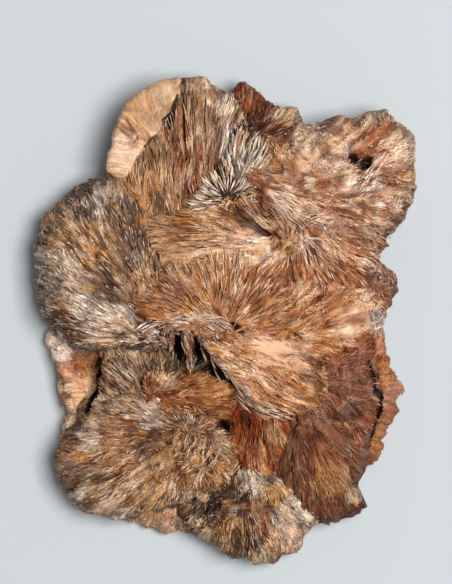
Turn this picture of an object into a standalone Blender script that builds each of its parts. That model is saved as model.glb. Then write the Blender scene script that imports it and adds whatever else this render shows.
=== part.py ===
"""Barite specimen: a flat-lying mass of crested blade fans, grown into one another.

The whole specimen is one solid, because its crystals grew together. Each fan is a cushion of thin blades that
spread from one root. It starts as a UV sphere: the top pole is the root, the meridians are the rays that the
blades follow, and the sphere's rings are laid out between the root, the fan's rim and its foot. The fans are
united with the core that carries them, the open clefts are cut in, and the underside is cut off flat.

Frame: +X right, +Y towards the head fan, +Z up, origin on the resting face at the middle of the specimen.
"""

import math
import random
from collections import namedtuple

import bmesh
import bpy
from mathutils import Vector

# The tables below are in millimetres, and the scene is in metres.
MM = 0.001

# Driving dimensions of the specimen. The fans' rims below reach to this width and length.
WIDTH = 141.0
LENGTH = 180.0
FOOT_DEPTH = 5.0  # how far every fan runs on below the resting face, to be cut off there

# Shares of the way from root to rim at which a fan's five heights are given.
HEIGHT_SHARES = (0.0, 0.35, 0.65, 0.88, 1.0)

# The rings of a fan's top, as shares of the way from root to rim.
TOP_RINGS = (0.0, 0.46, 0.82, 1.0)

# The rings of a fan's side: (share of the rim's distance from the root, share of the way down to the foot).
SIDE_RINGS = ((0.985, 0.34),)

# A fan: its root, its rim (anticlockwise), its five heights, the number of rays, how deep the furrows between
# its bundles of blades are at the rim, how far in its foot stands, as a share of the rim, and the slope of the
# whole fan (millimetres of height for each millimetre to +X and to +Y of the root).
Fan = namedtuple("Fan", "name root rim heights rays furrow foot slope", defaults=((0, 0),))

CORE = Fan(
    "core",
    root=(0, -5),
    rim=((0, 68), (-28, 72), (-38, 52), (-58, 28), (-56, 0), (-50, -24), (-48, -56), (-25, -67),
         (4, -76), (28, -70), (45, -62), (52, -40), (54, -14), (54, 14), (58, 48), (42, 64), (20, 65)),
    heights=(26, 27, 26, 20, 14),
    rays=26,
    furrow=0.0,
    foot=0.97,
)

FANS = (
    Fan("west_rim", (-50, -27),
        ((-63, -3), (-65.5, -7), (-64, -13), (-61.5, -18.5), (-59.5, -24), (-58, -29), (-57, -34.5),
         (-58, -40), (-59.5, -44.5), (-53, -47), (-44, -40), (-41, -27), (-42.5, -14), (-47.5, -6), (-56, -2.5)),
        (18, 18, 16.5, 13, 8), rays=32, furrow=0.5, foot=0.9),
    Fan("east_rim", (50, -32),
        ((54.5, 1.5), (49, -3), (44, -18), (42.5, -36.5), (46, -51), (52, -56), (55.5, -52.5), (58, -49.5),
         (59, -45), (60, -41), (62.5, -37.5), (64.5, -34), (64.5, -31), (66, -28.5), (66.5, -25.5), (64, -22.5),
         (62, -18), (60.5, -12.5), (59.5, -7), (59, -1.5)),
        (20, 19.5, 18, 14, 9), rays=40, furrow=0.6, foot=0.88),
    Fan("south_flap", (-21, -66),
        ((-35, -72), (-29, -74.5), (-23.5, -77), (-18, -78.5), (-14.5, -78.5), (-10, -79.5), (-7, -73.5),
         (-9, -64), (-20.5, -60), (-30.5, -64)),
        (19, 18, 15, 11, 7), rays=24, furrow=0.6, foot=0.84),
    Fan("back_spur", (5, 70),
        ((3.5, 84.5), (-3, 82.5), (-4, 71), (4.5, 60), (19, 58), (29.5, 63.5), (30.5, 71), (29, 74.5), (28, 78),
         (25, 79.5), (21.5, 79.5), (16.5, 82.5), (10.5, 86.5), (7.5, 88.5), (5, 87)),
        (30, 28, 27, 24, 17), rays=32, furrow=1.2, foot=0.84),
    Fan("head_fan", (-15, 26.5),
        ((-14, 20), (-3, 26.5), (5.5, 45), (8, 63.5), (6.5, 76.5), (3, 83), (-0.5, 85.5), (-5.5, 88), (-10, 90),
         (-15, 89.5), (-21.5, 88.5), (-28, 86), (-34.5, 80.5), (-39, 72), (-42, 62), (-42.5, 55.5),
         (-37.5, 35.5), (-27, 23.5)),
        (36, 36, 36.5, 33, 24), rays=50, furrow=1.6, foot=0.88),
    Fan("white_spray", (3, 47),
        ((-14, 39.5), (-7, 39), (3, 39.5), (11, 41.5), (14.5, 46.5), (17.5, 52.5), (19, 60), (16.5, 66),
         (10, 71), (5, 71.5), (2, 63.5), (-2.5, 57), (-7, 54), (-9, 49.5), (-13.5, 42.5)),
        (45, 44, 42, 38.5, 35), rays=38, furrow=3.2, foot=0.8),
    Fan("brow_fan", (18, 29),
        ((14.5, 37), (9, 43.5), (2.5, 45), (-5, 45), (-10.5, 44), (-15, 39), (-23.5, 37), (-29, 31), (-27, 22),
         (-12, 15.5), (6.5, 17), (19.5, 22), (23.5, 26.5), (22, 31.5)),
        (45, 46, 45.5, 43.5, 39), rays=34, furrow=1.3, foot=0.8, slope=(0.1, 0)),
    Fan("east_head_fan", (45, 46.5),
        ((14.5, 58), (19, 45), (32, 37), (50.5, 33), (61, 32.5), (65, 35.5), (67.5, 40), (69.5, 45),
         (70.5, 51.5), (70, 58), (71, 63.5), (69, 69.5), (65.5, 73), (63, 74.5), (60.5, 78), (56, 77.5),
         (51.5, 77.5), (48.5, 75), (45.5, 75.5), (40.5, 75.5), (35, 73.5), (30, 70.5), (25.5, 67), (19.5, 66),
         (15, 63.5)),
        (43, 46, 46, 40, 27), rays=50, furrow=1.2, foot=0.86),
    Fan("sash_fan", (16.5, 49.5),
        ((12, 55.5), (11.5, 46.5), (16.5, 40.5), (28.5, 33), (45, 28), (56.5, 26.5), (61, 28), (60.5, 31.5),
         (62.5, 35.5), (54.5, 42), (36, 48.5), (17.5, 56)),
        (45, 46, 43, 36, 27), rays=32, furrow=1.8, foot=0.86),
    Fan("shoulder_fan", (28.5, 29),
        ((19.5, 31), (16.5, 22), (19.5, 11), (28.5, 5), (43.5, 3.5), (58, 5.5), (64, 10), (65, 14.5), (63, 19),
         (59.5, 22.5), (55.5, 25.5), (47, 33), (32, 38.5), (22.5, 34.5)),
        (43, 42, 39, 33, 22), rays=36, furrow=1.4, foot=0.86),
    Fan("hip_fan", (21, -2.5),
        ((16, 0), (16.5, -7), (22.5, -8.5), (32, -12), (45, -13), (56, -8.5), (59.5, -1.5), (60.5, 3.5), (62, 8),
         (53.5, 15.5), (39.5, 20), (25, 18.5), (16.5, 9.5)),
        (42, 43.5, 41, 34, 22), rays=36, furrow=1.2, foot=0.86),
    Fan("heart_fan", (2, 0),
        ((-27, 1.5), (-16.5, -1.5), (-6.5, -3.5), (6.5, -5.5), (18, -3), (22.5, 8), (21.5, 22), (15.5, 30),
         (4.5, 33), (-12, 30), (-25, 22), (-28.5, 11.5)),
        (43, 46, 46.5, 44.5, 39), rays=34, furrow=1.4, foot=0.86),
    Fan("west_fan", (-26.5, -1.5),
        ((-37.5, 51), (-42.5, 53), (-48.5, 52.5), (-53.5, 50), (-59.5, 44.5), (-65, 40), (-68.5, 34),
         (-70.5, 28), (-70.5, 21), (-70, 14), (-68.5, 7), (-66.5, 0.5), (-63.5, -3.5), (-57.5, -6.5), (-50, -8.5),
         (-42, -9), (-32.5, -8.5), (-23.5, -7), (-19, -1.5), (-19, 11.5), (-23.5, 30), (-30, 45)),
        (39, 44, 44, 36, 22), rays=50, furrow=1.5, foot=0.84),
    Fan("cleft_fan", (-41, -40),
        ((-50, -38), (-45.5, -46), (-36.5, -47), (-27, -40), (-16, -31), (-5.5, -21), (-2, -10.5), (-6.5, -1.5),
         (-19.5, 0), (-32.5, -3), (-41, -6), (-44, -13), (-46, -21), (-48.5, -30)),
        (29, 30, 31, 30.5, 27), rays=34, furrow=1.6, foot=0.86),
    Fan("plate_fan", (-23.5, -25.5),
        ((-28, -18.5), (-28.5, -29), (-26.5, -38.5), (-18, -44), (-8.5, -42.5), (-2, -38), (3.5, -34), (5.5, -29),
         (4, -23), (-4, -19.5), (-16, -18)),
        (33, 35, 36.5, 36, 31), rays=28, furrow=1.0, foot=0.86),
    Fan("south_heart", (12, -30.5),
        ((2, -32), (-0.5, -40), (-0.5, -48.5), (3.5, -55.5), (12, -59.5), (23, -58.5), (30.5, -53), (31.5, -42),
         (28.5, -32.5), (17.5, -27.5), (8, -28.5)),
        (36, 34.5, 32, 29, 24), rays=32, furrow=1.8, foot=0.86),
    Fan("keel_fan", (33, -24.5),
        ((-7.5, -7), (-0.5, -16.5), (6.5, -24.5), (11.5, -30), (17.5, -32.5), (25.5, -34), (33, -32.5),
         (37.5, -27), (38, -20), (36, -13), (30.5, -8.5), (25, -5.5), (18, -3.5), (12, -1), (6.5, -3), (-2.5, -5)),
        (42, 44.5, 45, 43.5, 38), rays=40, furrow=1.8, foot=0.9, slope=(-0.17, 0.08)),
    Fan("mauve_fan", (44, -30),
        ((30, -30.5), (29, -38.5), (35, -44.5), (47, -46), (55.5, -41), (58.5, -33.5), (58.5, -25.5),
         (56.5, -15.5), (53, -7), (46, -5.5), (39.5, -11.5), (34.5, -21)),
        (37, 36.5, 35, 32, 26), rays=32, furrow=1.4, foot=0.88),
    Fan("south_east_fan", (31.5, -41),
        ((22, -44), (20.5, -53), (23.5, -64), (28.5, -71), (35, -74), (39.5, -75), (44.5, -74), (49, -72.5),
         (52, -70.5), (53.5, -68), (52, -64), (51, -60), (52.5, -55), (53, -46), (50, -38), (37.5, -32),
         (25, -34.5)),
        (37, 37.5, 35, 29, 18), rays=40, furrow=1.4, foot=0.84),
    Fan("south_fan", (10, -68),
        ((-11.5, -64.5), (-13, -72.5), (-10.5, -79), (-6.5, -82), (-1, -85.5), (4.5, -88), (10, -89.5),
         (15, -90), (19, -89), (22.5, -87), (27, -85.5), (29, -82.5), (30, -79.5), (32.5, -77), (34.5, -73.5),
         (33, -65.5), (28.5, -57), (21, -52.5), (12, -51), (2.5, -54), (-5.5, -59.5)),
        (35, 34.5, 32, 27, 17), rays=46, furrow=1.4, foot=0.84),
    Fan("south_west_fan", (-10, -46),
        ((-45.5, -30), (-54.5, -37), (-59, -41.5), (-61, -47), (-62, -52), (-61, -57), (-59, -62.5), (-55.5, -67),
         (-52, -70), (-47.5, -71), (-43, -71.5), (-37.5, -73.5), (-30.5, -72.5), (-23.5, -68.5), (-16, -65),
         (-8.5, -61.5), (-2.5, -59), (1, -55), (2, -49.5), (0.5, -44), (-3.5, -39.5), (-10, -35.5), (-19.5, -32),
         (-32.5, -27.5)),
        (37, 40.5, 40.5, 34, 21), rays=46, furrow=1.3, foot=0.84),
)

# Smooth crust left standing on the head fan's outer shoulder. It stands proud along its broken inner edge.
HEAD_CRUST = Fan(
    "head_crust",
    root=(-31, 70),
    rim=((-42.5, 55.5), (-37, 53), (-33, 55), (-30, 61), (-26, 66.5), (-21, 72), (-17, 78), (-16, 84),
         (-16, 89), (-21.5, 88.5), (-28, 86), (-34.5, 80.5), (-39, 72), (-42, 62)),
    heights=(36, 36, 35, 32, 26),
    rays=24,
    furrow=0.0,
    foot=0.97,
    slope=(0.29, -0.25),
)

# Overlapping shells at the inner end of the south-west fan, each a copy of the first, lower and further out.
SHELL = Fan(
    "shell",
    root=(-17, -50),
    rim=((-22, -41), (-26, -50), (-23, -59), (-16, -61.5), (-10, -58.5), (-8, -51), (-10, -43), (-16, -39)),
    heights=(44, 43.8, 43.3, 42.5, 41),
    rays=18,
    furrow=0.7,
    foot=0.9,
    slope=(0.22, -0.02),
)
SHELL_COUNT = 4
SHELL_STEP = (4.0, -0.2, -2.1)

# Strands of bundled blades that hang into the cleft under the heart fan: (top, bottom, radius).
STRANDS = (
    ((-15.5, -1.5, 42), (-15, -14, 31), 2.4),
    ((-11.5, -1, 43), (-11, -17, 30), 2.6),
    ((-20, -1, 41), (-20.5, -10, 32), 2.4),
    ((-5, -4, 43), (-2.5, -12.5, 34), 2.6),
)

# Open clefts: a route in plan from end to end, the greatest half width, and the heights of its floor and mouth.
Cleft = namedtuple("Cleft", "name route half_width floor mouth")
CLEFTS = (
    Cleft("head_cleft", ((-16.3, 85), (-17, 77), (-18, 68), (-19, 57)), 1.5, 27, 50),
    Cleft("crust_cleft", ((-16.5, 82), (-19, 76.5), (-24, 69.5), (-28.5, 64.5)), 1.6, 27, 36),
    Cleft("west_cleft", ((-50, -9), (-46.5, -18), (-45, -23.5), (-47, -29), (-50.5, -34)), 1.7, 8, 32),
    Cleft("keel_cleft", ((-8, -8.5), (-4.5, -16), (1, -23.5), (7, -30)), 2.2, 19, 44),
    Cleft("brow_cleft", ((3, 42.5), (8, 37), (14, 31.5)), 1.4, 37, 55),
    Cleft("east_cleft", ((55, -22), (58, -28), (57.5, -35)), 1.5, 10, 38),
    Cleft("pit_west", ((46, 60.5), (48.5, 58.5)), 1.5, 36, 55),
    Cleft("pit_east", ((50.5, 56), (52.5, 59)), 1.7, 35, 55),
)
CLEFT_CUTS = 5

STONE_COLOUR = (0.42, 0.22, 0.11, 1.0)
STONE_ROUGHNESS = 0.72


def clear_scene():
    for obj in list(bpy.data.objects):
        bpy.data.objects.remove(obj)


def new_collection(name):
    collection = bpy.data.collections.new(name)
    bpy.context.scene.collection.children.link(collection)
    return collection


def new_object(name, bm, collection):
    mesh = bpy.data.meshes.new(name)
    bm.to_mesh(mesh)
    bm.free()
    obj = bpy.data.objects.new(name, mesh)
    collection.objects.link(obj)
    return obj


def hide_helper(obj):
    obj.hide_render = True
    obj.display_type = "WIRE"


def finish_facets(bm):
    """Flat three-sided facets, facing outwards."""
    bmesh.ops.triangulate(bm, faces=bm.faces)
    if bm.calc_volume(signed=True) < 0:
        bmesh.ops.reverse_faces(bm, faces=bm.faces)


def curve_point(curve, position):
    """A Catmull-Rom point on the closed curve through these corners, position counted in corners."""
    first = math.floor(position)
    t = position - first
    a, b, c, d = (Vector(curve[(first + k) % len(curve)]) for k in (-1, 0, 1, 2))
    return 0.5 * (2 * b + (c - a) * t + (2 * a - 5 * b + 4 * c - d) * t**2 + (3 * b - a - 3 * c + d) * t**3)


def rim_points(fan):
    """One point on the rim for each ray, spaced evenly along the rim."""
    fine = len(fan.rim) * 12
    walk = [curve_point(fan.rim, len(fan.rim) * k / fine) for k in range(fine + 1)]
    lengths = [0.0]
    for a, b in zip(walk, walk[1:]):
        lengths.append(lengths[-1] + (b - a).length)
    points = []
    at = 0
    for ray in range(fan.rays):
        wanted = lengths[-1] * ray / fan.rays
        while lengths[at + 1] < wanted:
            at += 1
        share = (wanted - lengths[at]) / (lengths[at + 1] - lengths[at])
        points.append(walk[at].lerp(walk[at + 1], share))
    return points


def height_at(fan, share):
    """The height of a fan's top at this share of the way from root to rim, in millimetres."""
    for k in range(1, len(HEIGHT_SHARES)):
        if share <= HEIGHT_SHARES[k]:
            start, end = HEIGHT_SHARES[k - 1], HEIGHT_SHARES[k]
            t = (share - start) / (end - start)
            return fan.heights[k - 1] + (fan.heights[k] - fan.heights[k - 1]) * t
    return fan.heights[-1]


def fan_rings(fan):
    """(share of the rim's distance, height) for each ring of the sphere, from the root round to the foot."""
    rings = [(share, height_at(fan, share)) for share in TOP_RINGS]
    rim_height = fan.heights[-1]
    for share, down in SIDE_RINGS:
        rings.append((share, rim_height - down * (rim_height + FOOT_DEPTH)))
    rings.append((fan.foot, -FOOT_DEPTH))
    rings.append((0.0, -FOOT_DEPTH))
    return rings


def fan_mesh(fan):
    """A fan as a closed cushion. Every second ray is a furrow, of a depth of its own."""
    rings = fan_rings(fan)
    rim = rim_points(fan)
    root = Vector(fan.root)
    rng = random.Random(fan.name)
    depths = [fan.furrow * rng.uniform(0.6, 1.3) * (ray % 2) for ray in range(fan.rays)]
    lifts = [fan.furrow * rng.uniform(-0.35, 0.35) for ray in range(fan.rays)]
    bm = bmesh.new()
    bmesh.ops.create_uvsphere(bm, u_segments=fan.rays, v_segments=len(rings) - 1, radius=1)
    for vert in bm.verts:
        polar = math.acos(max(-1.0, min(1.0, vert.co.z)))
        share, height = rings[round(polar / math.pi * (len(rings) - 1))]
        ray = round(math.atan2(vert.co.y, vert.co.x) / math.tau * fan.rays) % fan.rays
        outward = rim[ray] - root
        reach = share - 0.45 * share**2 * depths[ray] / max(outward.length, 1.0)
        place = root + outward * reach
        if height > 0:
            height += share * (lifts[ray] - depths[ray]) + (place - root).dot(Vector(fan.slope))
        vert.co = Vector((place.x, place.y, height)) * MM
    finish_facets(bm)
    return bm


def shells():
    """The overlapping shells, from the highest to the lowest."""
    for k in range(SHELL_COUNT):
        dx, dy, dz = (step * k for step in SHELL_STEP)
        yield SHELL._replace(
            name=f"shell_{k}",
            root=(SHELL.root[0] + dx, SHELL.root[1] + dy),
            rim=tuple((x + dx, y + dy) for x, y in SHELL.rim),
            heights=tuple(height + dz for height in SHELL.heights),
        )


def strand_mesh(top, bottom, radius):
    """A six-sided bundle of blades from top to bottom, sunk in the fan above and tapering downwards."""
    start, end = Vector(top) * MM, Vector(bottom) * MM
    bm = bmesh.new()
    bmesh.ops.create_cone(
        bm,
        cap_ends=True,
        segments=6,
        radius1=radius * MM,
        radius2=0.6 * radius * MM,
        depth=(end - start).length,
    )
    turn = (end - start).to_track_quat("Z", "Y").to_matrix().to_4x4()
    bmesh.ops.transform(bm, matrix=turn, verts=bm.verts)
    bmesh.ops.translate(bm, vec=(start + end) / 2, verts=bm.verts)
    return bm


def cleft_mesh(cleft):
    """A wedge along the cleft's route: widest half way along, pointed at its ends and at its floor."""
    bm = bmesh.new()
    bmesh.ops.create_cube(bm, size=2)
    along = [e for e in bm.edges if abs(e.verts[0].co.x - e.verts[1].co.x) > 1]
    bmesh.ops.subdivide_edges(bm, edges=along, cuts=CLEFT_CUTS, use_grid_fill=True)
    route = [Vector(point) for point in cleft.route]
    for vert in bm.verts:
        t = (vert.co.x + 1) / 2
        position = t * (len(route) - 1)
        leg = min(int(position), len(route) - 2)
        place = route[leg].lerp(route[leg + 1], position - leg)
        tangent = (route[leg + 1] - route[leg]).normalized()
        half = cleft.half_width * (0.25 + 0.75 * math.sin(math.pi * t))
        if vert.co.z < 0:
            half *= 0.3
        place += Vector((-tangent.y, tangent.x)) * half * vert.co.y
        height = cleft.mouth if vert.co.z > 0 else cleft.floor
        vert.co = Vector((place.x, place.y, height)) * MM
    finish_facets(bm)
    return bm


def floor_mesh():
    """The block that takes away everything below the resting face."""
    bm = bmesh.new()
    bmesh.ops.create_cube(bm, size=1)
    bmesh.ops.scale(bm, vec=Vector((1.5 * WIDTH, 1.5 * LENGTH, 4 * FOOT_DEPTH)) * MM, verts=bm.verts)
    bmesh.ops.translate(bm, vec=(0, 0, -2 * FOOT_DEPTH * MM), verts=bm.verts)
    return bm


def add_boolean(obj, name, operation, collection):
    modifier = obj.modifiers.new(name, "BOOLEAN")
    modifier.operation = operation
    modifier.solver = "EXACT"
    modifier.operand_type = "COLLECTION"
    modifier.collection = collection


def barite_material():
    material = bpy.data.materials.new("barite")
    material.use_nodes = True
    shader = material.node_tree.nodes["Principled BSDF"]
    shader.inputs["Base Color"].default_value = STONE_COLOUR
    shader.inputs["Roughness"].default_value = STONE_ROUGHNESS
    shader.inputs["Metallic"].default_value = 0.0
    return material


def build():
    clear_scene()
    specimen = new_collection("barite_specimen")
    grown = new_collection("fans_to_unite")
    cutters = new_collection("cutters")

    for fan in (*FANS, HEAD_CRUST, *shells()):
        new_object(fan.name, fan_mesh(fan), grown)
    for k, strand in enumerate(STRANDS):
        new_object(f"strand_{k}", strand_mesh(*strand), grown)
    for cleft in CLEFTS:
        new_object(cleft.name, cleft_mesh(cleft), cutters)
    new_object("floor_cutter", floor_mesh(), cutters)
    for helper in (*grown.objects, *cutters.objects):
        hide_helper(helper)

    cluster = new_object("barite_cluster", fan_mesh(CORE), specimen)
    cluster.data.materials.append(barite_material())
    add_boolean(cluster, "grow_together", "UNION", grown)
    add_boolean(cluster, "open_clefts_and_flat_foot", "DIFFERENCE", cutters)


build()
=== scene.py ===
import math

import bmesh
import bpy
import numpy as np
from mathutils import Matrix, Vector
from mathutils.bvhtree import BVHTree


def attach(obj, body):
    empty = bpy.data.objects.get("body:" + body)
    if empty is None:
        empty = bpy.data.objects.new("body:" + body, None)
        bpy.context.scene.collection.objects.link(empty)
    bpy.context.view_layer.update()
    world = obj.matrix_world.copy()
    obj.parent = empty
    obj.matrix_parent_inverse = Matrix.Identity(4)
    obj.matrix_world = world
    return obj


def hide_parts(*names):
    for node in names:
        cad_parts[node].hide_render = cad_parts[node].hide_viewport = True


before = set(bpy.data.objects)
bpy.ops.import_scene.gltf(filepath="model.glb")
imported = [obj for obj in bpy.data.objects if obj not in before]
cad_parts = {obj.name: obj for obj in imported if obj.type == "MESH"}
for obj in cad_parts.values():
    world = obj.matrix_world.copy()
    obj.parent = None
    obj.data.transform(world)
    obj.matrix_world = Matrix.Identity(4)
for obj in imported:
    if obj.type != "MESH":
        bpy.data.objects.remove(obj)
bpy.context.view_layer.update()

# The table it lies on, the light and the eye.
# A pale, cool, matt table top. A wide soft light comes from above and the right, as from a window, and a
# weak one fills the shadows. The eye looks straight down on the specimen.
MM = 0.001
TABLE_COLOUR = (0.475, 0.505, 0.522, 1)
TABLE_ROUGHNESS = 0.75
TABLE_SIZE = 4.0
EYE_HEIGHT = 1.2
EYE_OVER = (1.1, 10.9)  # millimetres from the specimen's middle
SHARP_HEIGHT = 20  # millimetres above the table, where the view below is as wide as stated
VIEW_LENGTH = 216.1  # millimetres of the specimen's length that the view takes in
SENSOR = 36
WINDOW_PLACE = (0.32, 0.05, 1.4)
WINDOW_SIZE = 0.46
WINDOW_POWER = 24.5
FILL_LIGHT = (0.97, 0.98, 1.0, 1)
FILL_STRENGTH = 0.25

scene = bpy.context.scene
scene.view_settings.view_transform = "Standard"

bm = bmesh.new()
bmesh.ops.create_grid(bm, x_segments=1, y_segments=1, size=TABLE_SIZE / 2)
mesh = bpy.data.meshes.new("table")
bm.to_mesh(mesh)
bm.free()
table = bpy.data.objects.new("table", mesh)
scene.collection.objects.link(table)
table_top = bpy.data.materials.new("table_top")
table_top.use_nodes = True
matt = table_top.node_tree.nodes["Principled BSDF"]
matt.inputs["Base Color"].default_value = TABLE_COLOUR
matt.inputs["Roughness"].default_value = TABLE_ROUGHNESS
mesh.materials.append(table_top)

eye = bpy.data.objects.new("eye", bpy.data.cameras.new("eye"))
eye.location = (EYE_OVER[0] * MM, EYE_OVER[1] * MM, EYE_HEIGHT)
eye.data.sensor_width = SENSOR
eye.data.lens = SENSOR * (EYE_HEIGHT - SHARP_HEIGHT * MM) / (VIEW_LENGTH * MM)
scene.collection.objects.link(eye)
scene.camera = eye

window = bpy.data.objects.new("window", bpy.data.lights.new("window", "AREA"))
window.data.size = WINDOW_SIZE
window.data.energy = WINDOW_POWER
window.location = WINDOW_PLACE
window.rotation_euler = (-Vector(WINDOW_PLACE)).to_track_quat("-Z", "Y").to_euler()
scene.collection.objects.link(window)

sky = bpy.data.worlds.new("sky")
sky.use_nodes = True
sky.node_tree.nodes["Background"].inputs["Color"].default_value = FILL_LIGHT
sky.node_tree.nodes["Background"].inputs["Strength"].default_value = FILL_STRENGTH
scene.world = sky


# The matrix: the rusty mass of older barite that every fan grew out of.
# It shows only at the bottom of the clefts between the fans, and under the specimen. The forms and stains of
# the fans and the finish of the stone are worked out here, because the matrix is the first that needs them.
HEIGHT_SHARES = (0.0, 0.35, 0.65, 0.88, 1.0)  # how far out from its root a fan's heights are given
FLANK_LEVEL = 0.64  # how high the flank of a fan is, as a share of its rim's height
RIM_STEPS = 720
RIM_SOFTENING = 12  # steps along the rim over which its reach is evened out on each side
CORNER_STEPS = 16  # steps of the curve from one corner of a rim to the next
MERIDIAN_STEPS = 24  # steps of the curve from one height of a fan to the next
REACH_STEPS = 6  # steps in which a rim feels its way out over its neighbours
LEAST_ROOF = 12  # the lowest roof that a fan reaches over
FINE = 0.85  # the width in millimetres of the stone's facets at the rim
LONG_FACETS = 1.75  # how much longer than wide they are
DRAWN_OUT = 0.12  # how fast the grain changes along the blades, as a share of how fast it does across them
INSET = 0.7  # from a form's stone surface out to the ends of its blades
RAGGED = ((3.4, 0.6), (1.3, 0.35))  # how far apart the notches along a form's rim are, and how deep
RIM_SPREAD = 1.0  # how much wider than its rim a form's stone is, to make up for its relief and inset
EDGE_FADE = 0.05  # share of a form's length over which its relief fades towards the foot
ROOT_FADE = 12  # how long the ring around the root is inside which its relief fades
LUMP_SIZE = 9  # how broad the lumps on a form's sides are
LUMP_DEPTH = 1.1  # how far they stand out
SIDE_RELIEF = 0.45  # how much of its relief a form keeps on its sides
SEAM_DEPTH = 0.45  # how deep the gaps between its ribs are
SIDE_BLADE = 2.2  # the longest blade on a form's sides
ROOF_HALF = 96  # from the middle to the edge of the roof's grid, which has cells of one millimetre
ROOF_CLOSED = 6  # half width of the widest gap that the roof spans
SINK = 2.0  # how far below the roof a form is drawn up to
MOST_DRAWN = 14  # how far it is drawn up at most
CLIFF = 8  # how far below a form's rim a neighbour may stand and still be overlapped
STREAKS = 1.6  # across a millimetre of blades
GRAINS, MOTTLES = 1400.0, 260.0  # along a metre of stone
RUSTED = (1.0, 0.72, 0.48, 1)  # what the rustiest mottles leave of each colour
RELIEF = 0.0003  # metres from the pits to the tops of the finest grains
LUSTRE = 0.2
GUARD = 1e-9  # keeps a vector of no length from dividing by zero
LATTICE_LENGTH = 64  # lumps of noise before it repeats
LATTICE_START = 200  # lumps from the start of the noise to the specimen's middle


def stain(red, green, blue):
    """A colour from 0 to 255 as light sees it."""
    return np.array([(value / 255 / 12.92) if value < 11 else ((value / 255 + 0.055) / 1.055) ** 2.4
                     for value in (red, green, blue)])


# A near-black: painted shade where it is laid at the bottoms of clefts and hollows, a dark tone elsewhere.
NEAR_BLACK = stain(34, 20, 13)
UMBER = stain(78, 46, 29)
BROWN = stain(134, 92, 64)
CHALK = stain(246, 232, 222)
RUSTING = np.array((0.02, 0.2, 0.42))  # how much of each colour the rustiest streaks take away
GOLD = np.array((1.07, 1.04, 0.94))  # how the faint gold stain all over the specimen changes a colour


def open_curve(corners, steps):
    """A smooth curve through these corners, which it begins and ends at."""
    padded = np.vstack([2 * corners[0] - corners[1], corners, 2 * corners[-1] - corners[-2]])
    spot = np.arange((len(corners) - 1) * steps + 1) / steps
    first = np.minimum(spot.astype(int), len(corners) - 2)
    return through(padded, first, spot - first)


def closed_curve(corners, steps):
    """A smooth closed curve through these corners."""
    spot = np.arange(len(corners) * steps + 1) / steps
    first = spot.astype(int)
    looped = np.vstack([corners[-1:], corners, corners[:3]])
    return through(looped, first, spot - first)


def through(corners, first, t):
    """Catmull-Rom points between corners first + 1 and first + 2."""
    a, b, c, d = (corners[first + k] for k in range(4))
    t = t[:, None]
    return 0.5 * (2 * b + (c - a) * t + (2 * a - 5 * b + 4 * c - d) * t**2 + (3 * b - a - 3 * c + d) * t**3)


def walked(points):
    """The length walked along these points at each of them."""
    return np.concatenate([[0], np.cumsum(np.linalg.norm(np.diff(points, axis=0), axis=1))])


def spots(walk, lengths):
    """The points of this walk in plan after these lengths walked."""
    gone = walked(walk)
    return np.column_stack([np.interp(lengths, gone, walk[:, k]) for k in (0, 1)])


def unit(vectors, guard=0.0):
    """These vectors at length 1. A guard leaves those of no length as they are."""
    return vectors / (np.linalg.norm(vectors, axis=1, keepdims=True) + guard)


def ball(turns, rings):
    """A round closed mesh of radius 1, as its corners and faces."""
    bm = bmesh.new()
    bmesh.ops.create_uvsphere(bm, u_segments=turns, v_segments=rings, radius=1)
    mesh = bpy.data.meshes.new("ball")
    bm.to_mesh(mesh)
    bm.free()
    corners = np.empty(len(mesh.vertices) * 3)
    mesh.vertices.foreach_get("co", corners)
    faces = [tuple(polygon.vertices) for polygon in mesh.polygons]
    bpy.data.meshes.remove(mesh)
    return corners.reshape(-1, 3), faces


def eased(share):
    """A share from 0 to 1 that starts and ends gently."""
    share = np.clip(share, 0, 1)
    return share * share * (3 - 2 * share)


def lattice(u, v, seed, loop=LATTICE_LENGTH):
    """Smooth noise from -1 to 1 with lumps of size 1 in u and v. It repeats every loop lumps in u."""
    lumps = np.random.default_rng(seed).uniform(-1, 1, (loop, LATTICE_LENGTH))
    i, j = np.floor(u).astype(int), np.floor(v).astype(int)
    fu, fv = eased(u - i), eased(v - j)
    here, onward = i % loop, (i + 1) % loop
    low = lumps[here, j % LATTICE_LENGTH] * (1 - fu) + lumps[onward, j % LATTICE_LENGTH] * fu
    j = (j + 1) % LATTICE_LENGTH
    high = lumps[here, j] * (1 - fu) + lumps[onward, j] * fu
    return low * (1 - fv) + high * fv


def cloud(points, size, seed):
    """Smooth noise over the specimen, from about -1 to 1, with lumps of this size in millimetres."""
    x, y, z = points.T
    coarse = lattice(x / size + 0.6 * z / size + LATTICE_START, y / size + LATTICE_START, seed)
    finer = lattice(y / size * 2.3 + LATTICE_START, (x - 0.7 * z) / size * 2.3 + LATTICE_START, seed + 1)
    return 0.7 * coarse + 0.45 * finer


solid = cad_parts["barite_cluster"]
grown_solid = BVHTree.FromPolygons([solid.matrix_world @ v.co for v in solid.data.vertices],
                                   [tuple(p.vertices) for p in solid.data.polygons])


def spread(grid, pick):
    """Each cell's greatest or least neighbour within ROOF_CLOSED."""
    result = grid
    for x in range(-ROOF_CLOSED, ROOF_CLOSED + 1):
        for y in range(-ROOF_CLOSED, ROOF_CLOSED + 1):
            if x * x + y * y <= ROOF_CLOSED**2:
                result = pick(result, np.roll(grid, (x, y), (0, 1)))
    return result


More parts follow.
